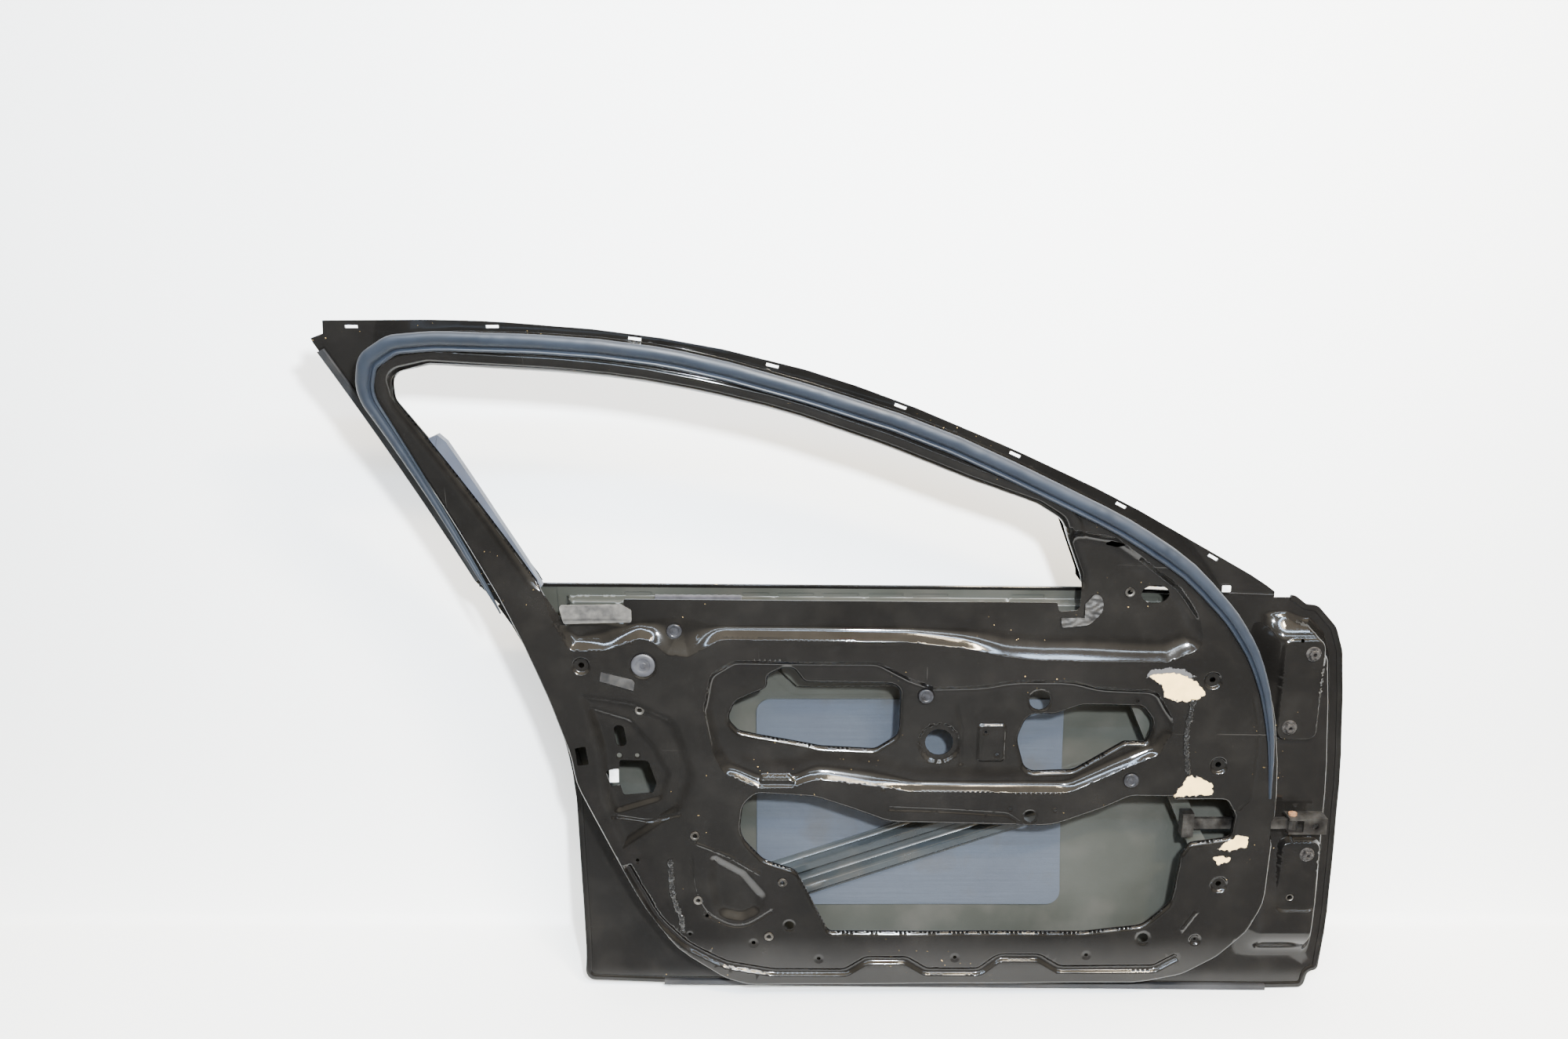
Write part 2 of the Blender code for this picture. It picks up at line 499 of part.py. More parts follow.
def is_inside(points, loop):
    """Whether each point lies inside a loop, by counting crossings."""
    places = np.asarray(points, dtype=float)
    start = np.array(loop)[None]
    end = np.roll(np.array(loop), -1, axis=0)[None]
    x = places[:, None, 0]
    z = places[:, None, 1]
    spans = (start[..., 1] > z) != (end[..., 1] > z)
    rise = end[..., 1] - start[..., 1]
    rise = np.where(rise == 0, 1, rise)
    crossing = start[..., 0] + (z - start[..., 1]) * (end[..., 0] - start[..., 0]) / rise
    return np.sum(spans & (x < crossing), axis=1) % 2 == 1


def depth_inside(points, loop):
    """Distance inside a loop: negative outside it."""
    return np.where(is_inside(points, loop), 1, -1) * path_distance(points, loop, True)


def material(name, color, roughness, metallic):
    """A plain Principled material."""
    made = bpy.data.materials.new(name)
    made.use_nodes = True
    shader = made.node_tree.nodes["Principled BSDF"]
    shader.inputs["Base Color"].default_value = (*color, 1)
    shader.inputs["Roughness"].default_value = roughness
    shader.inputs["Metallic"].default_value = metallic
    return made


def add_object(name, vertices, faces, look):
    """Adds a named object with one mesh, one material and smooth shading up to SHARP_ANGLE."""
    mesh = bpy.data.meshes.new(name)
    mesh.from_pydata(vertices, [], faces)
    mesh.validate()
    mesh.materials.append(look)
    mesh.shade_smooth()
    mesh.set_sharp_from_angle(angle=SHARP_ANGLE)
    part = bpy.data.objects.new(name, mesh)
    bpy.context.scene.collection.objects.link(part)
    part.parent = DOOR
    return part


def thicken(part, thickness):
    """Turns a sheet into a wall: its own face stays, and the metal grows along its normals."""
    wall = part.modifiers.new("wall", "SOLIDIFY")
    wall.thickness = thickness
    wall.offset = 1
    wall.use_even_offset = True
    wall.use_quality_normals = True
    return part


def triangulate(loops, lines, points, outline, holes):
    """Triangles of the area inside the outline and outside the holes, along all loops and lines."""
    places = []
    edges = []
    for loop in loops:
        first = len(places)
        places += loop
        edges += [(first + i, first + (i + 1) % len(loop)) for i in range(len(loop))]
    for line in lines:
        first = len(places)
        places += line
        edges += [(first + i, first + i + 1) for i in range(len(line) - 1)]
    places += points
    vertices, _, faces, _, _, _ = delaunay_2d_cdt([Vector(p) for p in places], edges, [], 0, MERGE_DISTANCE)
    vertices = [(v.x, v.y) for v in vertices]
    middles = [tuple(np.mean([vertices[i] for i in face], axis=0)) for face in faces]
    keep = is_inside(middles, outline)
    for hole in holes:
        keep &= ~is_inside(middles, hole)
    faces = [tuple(face) for face, kept in zip(faces, keep) if kept]
    used = sorted({i for face in faces for i in face})
    order = {old: new for new, old in enumerate(used)}
    return [vertices[i] for i in used], [tuple(order[i] for i in face) for face in faces]


def sheet(name, outline, holes, height, thickness, look, rings=(), lines=(), points=()):
    """A pressed sheet: an outline with holes, lifted by a height function of its places."""
    places, faces = triangulate([outline, *holes, *rings], list(lines), list(points), outline, holes)
    levels = height(np.array(places))
    vertices = [(x, float(y), z) for (x, z), y in zip(places, levels)]
    return thicken(add_object(name, vertices, faces, look), thickness)


def row_lines(outline, holes, margin):
    """Level lines across a sheet, one for each row of the barrel, a margin clear of every edge."""
    levels = [point[1] for point in outline]
    lines = []
    for k in range(math.ceil(min(levels) / ROW_STEP), math.floor(max(levels) / ROW_STEP) + 1):
        row = k * ROW_STEP
        crossings = []
        for loop in (outline, *holes):
            for start, end in zip(loop, loop[1:] + loop[:1]):
                if (start[1] > row) != (end[1] > row):
                    crossings.append(start[0] + (row - start[1]) * (end[0] - start[0]) / (end[1] - start[1]))
        crossings.sort()
        for left, right in zip(crossings[::2], crossings[1::2]):
            if right - left > 3 * margin:
                ends = np.array([(left + margin, row), (right - margin, row)])
                clear = path_distance(ends, outline, True)
                if min(clear) > margin / 2:
                    lines.append([tuple(end) for end in ends.tolist()])
    return lines


def sweep(name, path, section, height, look, width, width_end=None, taper=0.0):
    """A closed section carried along a path on a surface; it stands towards -Y."""
    array = np.array(path)
    tangent = np.gradient(array, axis=0)
    tangent /= np.linalg.norm(tangent, axis=1, keepdims=True)
    normal = np.stack([-tangent[:, 1], tangent[:, 0]], axis=1)
    travel = np.concatenate([[0], np.cumsum(np.linalg.norm(np.diff(array, axis=0), axis=1))])
    left = travel[-1] - travel
    widths = np.full(len(path), width)
    if width_end is not None:
        widths = width_end + (width - width_end) * smooth(left, 0, taper)
    vertices = []
    for i in range(len(path)):
        for across, up in section:
            spot = array[i] + normal[i] * across * widths[i]
            base = float(height(np.array([spot]))[0])
            vertices.append((float(spot[0]), base - up * widths[i] / width, float(spot[1])))
    count = len(section)
    faces = []
    for i in range(len(path) - 1):
        for k in range(count):
            a = i * count + k
            b = i * count + (k + 1) % count
            faces.append((a, b, b + count, a + count))
    faces.append(tuple(range(count))[::-1])
    faces.append(tuple(len(vertices) - count + k for k in range(count)))
    part = add_object(name, vertices, faces, look)
    face_out(part)
    return part


def face_out(part):
    """Turns every face of a closed mesh outwards."""
    shape = bmesh.new()
    shape.from_mesh(part.data)
    bmesh.ops.recalc_face_normals(shape, faces=shape.faces)
    shape.to_mesh(part.data)
    shape.free()


def join_shapes(name, shapes, look):
    """One object made of several separate closed shapes, each a pair of vertices and faces."""
    vertices = []
    faces = []
    for points, sides in shapes:
        first = len(vertices)
        vertices += points
        faces += [tuple(first + i for i in side) for side in sides]
    part = add_object(name, vertices, faces, look)
    face_out(part)
    return part


def turned(profile, centre, axis, segments):
    """A body turned from a closed profile of (radius, height) about an axis through a centre."""
    axis = Vector(axis)
    across = axis.orthogonal().normalized()
    up = axis.cross(across)
    vertices = []
    rows = []
    for radius, height in profile:
        if radius == 0:
            rows.append([len(vertices)] * segments)
            vertices.append(tuple(Vector(centre) + axis * height))
            continue
        rows.append([len(vertices) + k for k in range(segments)])
        for k in range(segments):
            angle = 2 * math.pi * k / segments
            arm = across * math.cos(angle) + up * math.sin(angle)
            vertices.append(tuple(Vector(centre) + axis * height + arm * radius))
    faces = []
    open_ends = profile[0][0] == 0 and profile[-1][0] == 0
    for i in range(len(profile) - (1 if open_ends else 0)):
        lower = rows[i]
        upper = rows[(i + 1) % len(profile)]
        for k in range(segments):
            j = (k + 1) % segments
            ring = [lower[k], lower[j], upper[j], upper[k]]
            face = tuple(dict.fromkeys(ring))
            if len(face) > 2:
                faces.append(face)
    return vertices, faces


def block(low, high):
    """Vertices and faces of a box between two corners."""
    vertices = [(x, y, z) for x in (low[0], high[0]) for y in (low[1], high[1]) for z in (low[2], high[2])]
    faces = [(0, 1, 3, 2), (4, 6, 7, 5), (0, 4, 5, 1), (2, 3, 7, 6), (0, 2, 6, 4), (1, 5, 7, 3)]
    return vertices, faces


def prism(loop, low, high, axis):
    """Vertices and faces of a loop carried from low to high along the Y or the Z axis."""
    count = len(loop)
    vertices = []
    for level in (low, high):
        for a, b in loop:
            vertices.append((a, level, b) if axis == "Y" else (a, b, level))
    faces = [tuple(range(count)), tuple(range(count, 2 * count))[::-1]]
    for i in range(count):
        j = (i + 1) % count
        faces.append((i, j, j + count, i + count))
    return vertices, faces


def cut(part, tool_shape, name):
    """Cuts a closed shape out of a part, with the tool kept as a hidden guide."""
    tool = join_shapes(name, [tool_shape], CUTTER_LOOK)
    tool.hide_render = True
    tool.display_type = "WIRE"
    carve = part.modifiers.new(name, "BOOLEAN")
    carve.operation = "DIFFERENCE"
    carve.solver = "EXACT"
    carve.object = tool


for old in list(bpy.data.objects):
    bpy.data.objects.remove(old)
DOOR = bpy.data.objects.new("door", None)
bpy.context.scene.collection.objects.link(DOOR)

BLACK_PAINT = material("black_paint", (0.012, 0.011, 0.010), 0.12, 0)
PRIMER = material("grey_green_primer", (0.30, 0.33, 0.30), 0.45, 0)
BEAM_PRIMER = material("beam_primer", (0.26, 0.29, 0.27), 0.4, 0)
RUBBER = material("seal_rubber", (0.045, 0.050, 0.058), 0.6, 0)
HARD_RUBBER = material("strip_rubber", (0.02, 0.02, 0.021), 0.5, 0)
FOAM = material("foam", (0.14, 0.125, 0.11), 0.9, 0)
FELT = material("felt", (0.07, 0.066, 0.07), 0.95, 0)
TAPE = material("tape", (0.035, 0.033, 0.032), 0.55, 0)
PAD_FOIL = material("damping_foil", (0.50, 0.51, 0.52), 0.35, 0.9)
PLUG_PLASTIC = material("plug_plastic", (0.12, 0.12, 0.125), 0.5, 0)
ZINC = material("zinc_steel", (0.30, 0.29, 0.27), 0.45, 1)
DARK_STEEL = material("dark_steel", (0.10, 0.095, 0.09), 0.5, 1)
RUSTY_STEEL = material("rusty_steel", (0.20, 0.12, 0.07), 0.7, 0.6)
SEALANT = material("sealant", (0.02, 0.02, 0.02), 0.8, 0)
CUTTER_LOOK = material("cutter", (0.8, 0.1, 0.1), 0.5, 0)

HEM = densify(rounded(HEM_SHARES, closed=False), closed=False)
BELT_LINE = rounded(BELT_LINE_SHARES, closed=False)
FRAME_EDGE = densify(rounded(FRAME_EDGE_SHARES, closed=False), closed=False)
SKIN_EDGE = HEM + BELT_LINE
PLATEAU = densify(rounded(PLATEAU_SHARES))
FOOT = inset(PLATEAU, -WALL_RUN)
WINDOW = densify(rounded(WINDOW_SHARES))
OPENING_A = rounded(OPENING_A_SHARES)
OPENING_B = rounded(OPENING_B_SHARES)
OPENING_C = rounded(OPENING_C_SHARES)
SILL_BEAD_PATH = rounded(SILL_BEAD_SHARES, closed=False)
SKIN_INSET_HEM = inset(SKIN_EDGE, FLANGE_CLEARANCE)[:len(HEM)]
FLANGE_EDGE = FRAME_EDGE + SKIN_INSET_HEM
HINGE_PADS = [
    (place(HINGE_PAD_UPPER_SHARES), HINGE_PAD_UPPER_HEIGHT_SHARE * DOOR_HEIGHT, HINGE_PAD_DEPTH_UPPER,
     HINGE_BOLTS_UPPER_SHARES),
    (place(HINGE_PAD_LOWER_SHARES), HINGE_PAD_LOWER_HEIGHT_SHARE * DOOR_HEIGHT, HINGE_PAD_DEPTH_LOWER,
     HINGE_BOLTS_LOWER_SHARES)]
HINGE_PAD_LOOPS = [box_loop(spot, HINGE_PAD_WIDTH, tall, HINGE_PAD_CORNER) for spot, tall, _, _ in HINGE_PADS]
DIMPLES = [ellipse(place(s), SCREW_DIMPLE_RADIUS, SCREW_DIMPLE_RADIUS, RING_SEGMENTS) for s in SCREW_DIMPLE_SHARES]
COLLAR = ellipse(place(SPEAKER_HOLE_SHARES), HOLE_COLLAR_RADIUS, HOLE_COLLAR_RADIUS, RING_SEGMENTS)
BOSS = box_loop(place(BOSS_CENTRE_SHARES), BOSS_LENGTH, BOSS_HEIGHT, BOSS_CORNER)
RECESSES = [
    (rounded(UPPER_RECESS_SHARES), *UPPER_RECESS), (rounded(CENTRE_RECESS_SHARES), *CENTRE_RECESS),
    (rounded(LATCH_OUTER_SHARES), *LATCH_RECESS),
    (rounded(LATCH_INNER_SHARES), *LATCH_RECESS), (rounded(SPEAKER_RECESS_SHARES), *SPEAKER_RECESS),
    (COLLAR, *HOLE_COLLAR), (BOSS, *BOSS_STEP), *[(loop, *SCREW_DIMPLE) for loop in DIMPLES]]
LIPPED_HOLES = [(WINDOW, WINDOW_LIP_WIDTH, WINDOW_LIP_DEPTH), (OPENING_A, LIP_WIDTH, LIP_DEPTH),
                (OPENING_B, LIP_WIDTH, LIP_DEPTH), (OPENING_C, LIP_WIDTH, LIP_DEPTH)]


def shelf_share(places):
    """1 on the front shelf that carries the hinges, and 0 away from it."""
    along = places[:, 0] / DOOR_LENGTH + CENTRE_LENGTH_SHARE
    level = places[:, 1] / DOOR_HEIGHT
    share = smooth(along, *SHELF_LENGTH_SHARES) * smooth(level, *SHELF_LOW_SHARES)
    return share * (1 - smooth(level, *SHELF_HIGH_SHARES))


def panel_height(places):
    """Outboard face of the inner panel: plateau, recesses, lips, wall, shelf, flange and hinge pads."""
    z = places[:, 1]
    face = lean_y(z)
    for loop, depth, flank in RECESSES:
        face = face + depth * np.clip(depth_inside(places, loop) / flank, 0, 1)
    bead, flank = SILL_BEAD
    off_bead = path_distance(places, SILL_BEAD_PATH, False)
    face = face + bead * np.clip((SILL_BEAD_HALF_WIDTH + flank - off_bead) / flank, 0, 1)
    for loop, width, depth in LIPPED_HOLES:
        face = face + depth * np.clip(1 - path_distance(places, loop, True) / width, 0, 1)
    edge_depth = path_distance(places, SKIN_EDGE, True)
    lift = SHELF_LIFT * shelf_share(places) * np.clip((edge_depth - SHELF_FLANGE) / SHELF_RUN, 0, 1)
    flange = flange_y(z) - lift
    for loop, (_, _, level, _) in zip(HINGE_PAD_LOOPS, HINGE_PADS):
        share = np.clip(1 + depth_inside(places, loop) / HINGE_PAD_FLANK, 0, 1)
        flange = flange * (1 - share) + level * share
    outside = -depth_inside(places, PLATEAU)
    wall = np.clip(outside / WALL_RUN, 0, 1)
    return face * (1 - wall) + flange * wall


def panel_face(places):
    """Inboard face of the inner panel where it is flat, a sheet's thickness towards -Y."""
    return panel_height(places) - INNER_SHEET


def trim_slots():
    """Slots along the frame's top flange, each turned to follow the edge."""
    edge = np.array(FRAME_EDGE)
    slots = []
    for share in TRIM_SLOT_SHARES:
        x = (share - CENTRE_LENGTH_SHARE) * DOOR_LENGTH
        top = edge[4:]
        z = float(np.interp(x, top[:, 0], top[:, 1]))
        slope = float(np.interp(x + TRIM_SLOT_LENGTH, top[:, 0], top[:, 1])) - z
        along = Vector((TRIM_SLOT_LENGTH, slope)).normalized()
        down = Vector((along.y, -along.x))
        middle = Vector((x, z)) + down * TRIM_SLOT_INSET
        corners = []
        for side, level in ((-1, -1), (1, -1), (1, 1), (-1, 1)):
            corners.append(middle + along * side * TRIM_SLOT_LENGTH / 2 + down * level * TRIM_SLOT_HEIGHT / 2)
        slots.append([(c.x, c.y) for c in corners])
    return slots


def panel_holes():
    """Every hole of the inner panel."""
    holes = [WINDOW, OPENING_A, OPENING_B, OPENING_C]
    holes += [rounded(LATCH_OPENING_SHARES), rounded(EYE_HOLE_SHARES), rounded(EDGE_NOTCH_SHARES)]
    holes.append(latch_slot(0))
    holes.append(ellipse(place(SPEAKER_HOLE_SHARES), SPEAKER_HOLE_RADIUS, SPEAKER_HOLE_RADIUS, RING_SEGMENTS))
    holes.append(ellipse(place(MIRROR_HOLE_SHARES), MIRROR_HOLE_LENGTH / 2, MIRROR_HOLE_HEIGHT / 2, RING_SEGMENTS))
    for share, radius in ROUND_HOLES:
        holes.append(ellipse(place(share), radius, radius, SMALL_SEGMENTS))
    for share in SCREW_DIMPLE_SHARES:
        holes.append(ellipse(place(share), SCREW_HOLE_RADIUS, SCREW_HOLE_RADIUS, SMALL_SEGMENTS))
    holes.append(ellipse(place(ACCESS_PLUG_SHARES), ACCESS_PLUG_HOLE, ACCESS_PLUG_HOLE, RING_SEGMENTS))
    for share in GROMMET_SHARES:
        holes.append(ellipse(place(share), GROMMET_HOLE, GROMMET_HOLE, SMALL_SEGMENTS))
    for share in RIVET_NUT_SHARES:
        holes.append(ellipse(place(share), RIVET_NUT_HOLE, RIVET_NUT_HOLE, SMALL_SEGMENTS))
    for spot in hinge_bolt_places():
        holes.append(ellipse(spot, HINGE_BOLT_HOLE, HINGE_BOLT_HOLE, SMALL_SEGMENTS))
    holes.append(check_notch())
    return holes + trim_slots()


def latch_slot(margin):
    """The slot above the latch, upright and a little slanted, with a margin all round."""
    top = Vector(place(LATCH_SLOT_SHARES[0]))
    foot = Vector(place(LATCH_SLOT_SHARES[1]))
    radius = LATCH_SLOT_WIDTH_SHARE * DOOR_HEIGHT / 2
    half = radius + margin
    points = []
    for middle, start in ((top, 0), (foot, math.pi)):
        inner = middle + (foot - top).normalized() * radius * (1 if start == 0 else -1)
        for k in range(5):
            angle = start + math.pi * k / 4
            points.append((inner.x + half * math.cos(angle), inner.y + half * math.sin(angle)))
    return points


def hinge_bolt_places():
    """Drawing places of the hinge bolts, two on each pad."""
    return [place(share) for share in HINGE_BOLTS_UPPER_SHARES + HINGE_BOLTS_LOWER_SHARES]


def check_notch():
    """The cut in the front wall that the check arm runs through."""
    edge, level = place((CHECK_EDGE_SHARE, CHECK_HEIGHT_SHARE))
    middle = (edge + (CHECK_NOTCH_FRONT - CHECK_NOTCH_BACK) / 2, level)
    return box_loop(middle, CHECK_NOTCH_FRONT + CHECK_NOTCH_BACK, CHECK_NOTCH_HEIGHT, 0)


def build_inner_panel():
    """The one-piece pressing: window ring, plateau with its openings, wall, front shelf and flange."""
    rings = [PLATEAU, FOOT]
    for loop, depth, flank in RECESSES:
        rings += [loop, inset(loop, flank)]
    for loop, width, depth in LIPPED_HOLES:
        rings.append(inset(loop, -width))
    for loop in HINGE_PAD_LOOPS:
        rings += [loop, inset(loop, -HINGE_PAD_FLANK)]
    lines = []
    for reach in (SILL_BEAD_HALF_WIDTH, SILL_BEAD_HALF_WIDTH + SILL_BEAD[1]):
        lines += [inset(SILL_BEAD_PATH, reach, False), inset(SILL_BEAD_PATH, -reach, False)]
    shelf_low = SHELF_LOW_SHARES[0] * DOOR_HEIGHT
    shelf_high = SHELF_HIGH_SHARES[1] * DOOR_HEIGHT
    front = SHELF_LENGTH_SHARES[1] * DOOR_LENGTH - CENTRE_LENGTH_SHARE * DOOR_LENGTH
    for reach in (SHELF_FLANGE, SHELF_FLANGE + SHELF_RUN):
        ring = inset(SKIN_EDGE, reach)
        lines.append([p for p in ring if p[0] > front and shelf_low < p[1] < shelf_high])
    sheet("inner_panel", FLANGE_EDGE, panel_holes(), panel_height, INNER_SHEET, BLACK_PAINT, rings, lines)


def handle_openings():
    """The two openings in the skin beside the handle dish: the handle's arm and the lock."""
    x, z = place(HANDLE_DISH_SHARES)
    slot_x = x + HANDLE_SLOT_OFFSET_SHARE * HANDLE_PLATE_LENGTH
    lock_x = x - LOCK_HOLE_OFFSET_SHARE * HANDLE_PLATE_LENGTH
    slot = box_loop((slot_x, z), HANDLE_SLOT_LENGTH, HANDLE_SLOT_HEIGHT, BOSS_CORNER)
    lock = ellipse((lock_x, z), LOCK_HOLE_RADIUS, LOCK_HOLE_RADIUS, RING_SEGMENTS)
    return [slot, lock]


def handle_dish():
    """Outline of the finger dish behind the outer handle."""
    half = HANDLE_DISH_LENGTH_SHARE * HANDLE_PLATE_LENGTH / 2
    return ellipse(place(HANDLE_DISH_SHARES), half, HANDLE_DISH_HEIGHT / 2, 2 * RING_SEGMENTS)


def skin_height(places):
    """Outer face of the skin with its handle dish."""
    dish = np.clip(depth_inside(places, handle_dish()) / HANDLE_DISH_FLANK, 0, 1)
    return skin_y(places[:, 1]) - HANDLE_DISH_DEPTH * dish


def build_outer_skin():
    """The outer skin: a barrel sheet whose edge, except along the belt, folds round the flange."""
    start = inset(SKIN_EDGE, HEM_EDGE_ROUND)
    dish = handle_dish()
    holes = handle_openings()
    rings = [dish, inset(dish, HANDLE_DISH_FLANK)]
    places, faces = triangulate([start, *holes, *rings], row_lines(SKIN_EDGE, holes, ROW_MARGIN), [], start, holes)
    levels = skin_height(np.array(places))
    vertices = [(x, float(y), z) for (x, z), y in zip(places, levels)]
    array = np.array(places)
    folded = range(1, len(HEM) - 1)
    ring = [int(np.argmin(np.sum((array - np.array(start[i])) ** 2, axis=1))) for i in folded]
    fold = 2 * SKIN_SHEET + 2 * HEM_GAP + INNER_SHEET
    for reach, drop in ((0, fold / 2), (HEM_EDGE_ROUND, fold), (HEM_WIDTH, fold)):
        loop = inset(SKIN_EDGE, reach)
        following = [len(vertices) + i for i in range(len(ring))]
        vertices += [(loop[i][0], float(skin_y(loop[i][1])) - drop, loop[i][1]) for i in folded]
        for i in range(len(ring) - 1):
            faces.append((ring[i], ring[i + 1], following[i + 1], following[i]))
        ring = following
    thicken(add_object("outer_skin", vertices, faces, BLACK_PAINT), SKIN_SHEET)


def build_window_frame():
    """The outer half of the window frame: a hoop from belt to belt, closed to the inner half."""
    belt_rear = place((0.186, 0.628))
    belt_front = place((0.727, 0.6225))
    above = [p for p in WINDOW if p[1] > belt_front[1] + RAIL_SLOT_DROP / 2]
    start = above.index(max(above, key=lambda p: (p[0], -p[1])))
    front_first = above[start:] + above[:start]
    if front_first[1][1] < front_first[0][1]:
        front_first = [front_first[0]] + front_first[:0:-1]
    outline = FRAME_EDGE + [belt_front] + front_first + [belt_rear]
    sheet("window_frame_outer", outline, trim_slots(), lambda p: skin_y(p[:, 1]), SKIN_SHEET, BLACK_PAINT,
          rings=[], lines=[[p for p in FOOT if p[1] > belt_rear[1] + RAIL_SLOT_DROP]])


def rail_outline(span, top, drop):
    """The two ends of a level line under the belt."""
    left = place((span[0], 0))[0]
    right = place((span[1], 0))[0]
    return [(left, top - drop), (right, top - drop)]


def belt_level(x):
    """Height of the skin's belt edge at a place along the door."""
    line = np.array([place(HEM_SHARES[-1]), *[place(row) for row in BELT_LINE_SHARES], place(HEM_SHARES[0])])
    return float(np.interp(x, line[:, 0], line[:, 1]))


def rail_slots(margin):
    """The slots along the outer rail, under the belt."""
    slots = []
    for low, high in RAIL_SLOT_SHARES:
        left = place((low, 0))[0]
        right = place((high, 0))[0]
        middle = (left + right) / 2
        size = RAIL_SLOT_HEIGHT + margin
        slots.append(box_loop((middle, belt_level(middle) - RAIL_SLOT_DROP), right - left, size, size * 0.45))
    return slots


def build_outer_belt_rail():
    """The slotted pan hemmed under the skin's belt edge, with a flange all round."""
    outline = densify(rounded(OUTER_RAIL_SHARES))
    reach = OUTER_RAIL_FLANGE + OUTER_RAIL_STEP_RUN
    rings = [inset(outline, OUTER_RAIL_FLANGE), inset(outline, reach)]

    def height(places):
        share = np.clip((depth_inside(places, outline) - OUTER_RAIL_FLANGE) / OUTER_RAIL_STEP_RUN, 0, 1)
        return flange_y(places[:, 1]) - OUTER_RAIL_DEPTH * share

    slots = rail_slots(0)
    lines = row_lines(outline, slots, ROW_MARGIN * 1.5)
    sheet("belt_rail_outer", outline, slots, height, RAIL_SHEET, PRIMER, rings=rings, lines=lines)


def build_inner_belt_rail():
    """The hat rail that stiffens the inner panel under the window."""
    top = INNER_RAIL_TOP_SHARE * DOOR_HEIGHT
    drops = [0, INNER_RAIL_FLANGE, INNER_RAIL_FLANGE + INNER_RAIL_STEP_RUN]
    drops += [INNER_RAIL_HEIGHT - drop for drop in drops[::-1]]
    depths = [0, 0, INNER_RAIL_DEPTH, INNER_RAIL_DEPTH, 0, 0]
    lines = [rail_outline(INNER_RAIL_SPAN_SHARES, top, drop) for drop in drops]
    outline = lines[0] + lines[-1][::-1]
    seat = UPPER_RECESS[0] + SEAT_GAP + RAIL_SHEET

    def height(places):
        return seat + np.interp(top - places[:, 1], drops, depths)

    sheet("belt_rail_inner", outline, [], height, RAIL_SHEET, BLACK_PAINT, lines=lines[1:-1])


def build_beam():
    """The side impact beam: a double hat section that climbs from the rear sill to the front."""
    start = Vector(place(BEAM_START_SHARES))
    end = Vector(place(BEAM_END_SHARES))
    along = (end - start).normalized()
    across = Vector((-along.y, along.x))
    vertices = []
    stations = 9
    for i in range(stations):
        middle = start + (end - start) * i / (stations - 1)
        for offset, rib in BEAM_SECTION_SHARES:
            spot = middle + across * offset * BEAM_WIDTH
            y = beam_level(spot.y) - rib * BEAM_RIB_DEPTH
            vertices.append((spot.x, y, spot.y))
    count = len(BEAM_SECTION_SHARES)
    faces = []
    for i in range(stations - 1):
        for k in range(count - 1):
            a = i * count + k
            faces.append((a, a + count, a + count + 1, a + 1))
    thicken(add_object("side_impact_beam", vertices, faces, BEAM_PRIMER), BEAM_SHEET)


def beam_level(z):
    """Outboard face of the beam's flanges at a height."""
    return float(flange_y(z)) - BEAM_FACE_CLEARANCE


def build_beam_brackets():
    """The plates that carry the beam's ends to the flange at the rear and to the shelf in front."""
    start = Vector(place(BEAM_START_SHARES))
    end = Vector(place(BEAM_END_SHARES))
    along = (end - start).normalized()
    across = Vector((-along.y, along.x))
    for name, base, direction in (("beam_bracket_rear", start, -along), ("beam_bracket_front", end, along)):
        corners = []
        reach = BEAM_BRACKET_LENGTH - BEAM_BRACKET_OVERLAP
        for run, side in ((-BEAM_BRACKET_OVERLAP, -1), (reach, -1), (reach, 1), (-BEAM_BRACKET_OVERLAP, 1)):
            wide = BEAM_WIDTH if run < 0 else BEAM_BRACKET_WIDTH
            corners.append(base + direction * run + across * side * wide / 2)
        outline = fillet(corners, [BOSS_CORNER] * 4)

        sheet(name, densify(outline), [], lambda p: flange_y(p[:, 1]), BEAM_BRACKET_SHEET, BEAM_PRIMER,
              lines=row_lines(outline, [], ROW_MARGIN))


def build_damping_pad():
    """The foil-faced pad stuck on the inside of the skin."""
    outline = densify(rounded(PAD_OUTLINE_SHARES))
    sheet("damping_pad", outline, [], lambda p: flange_y(p[:, 1]), PAD_THICKNESS, PAD_FOIL,
          lines=row_lines(outline, [], ROW_MARGIN))


def build_handle_plate():
    """The plate inside the skin that the outer handle clamps to, open over the dish."""
    centre = place(HANDLE_DISH_SHARES)
    outline = densify(box_loop(centre, HANDLE_PLATE_LENGTH, HANDLE_PLATE_HEIGHT, BOSS_CORNER))
    dish = inset(handle_dish(), -HEM_EDGE_ROUND)
    holes = [dish] + [inset(hole, -PLATE_HOLE_MARGIN) for hole in handle_openings()]
    sheet("handle_reinforcement", outline, holes, lambda p: flange_y(p[:, 1]), RAIL_SHEET, PRIMER)


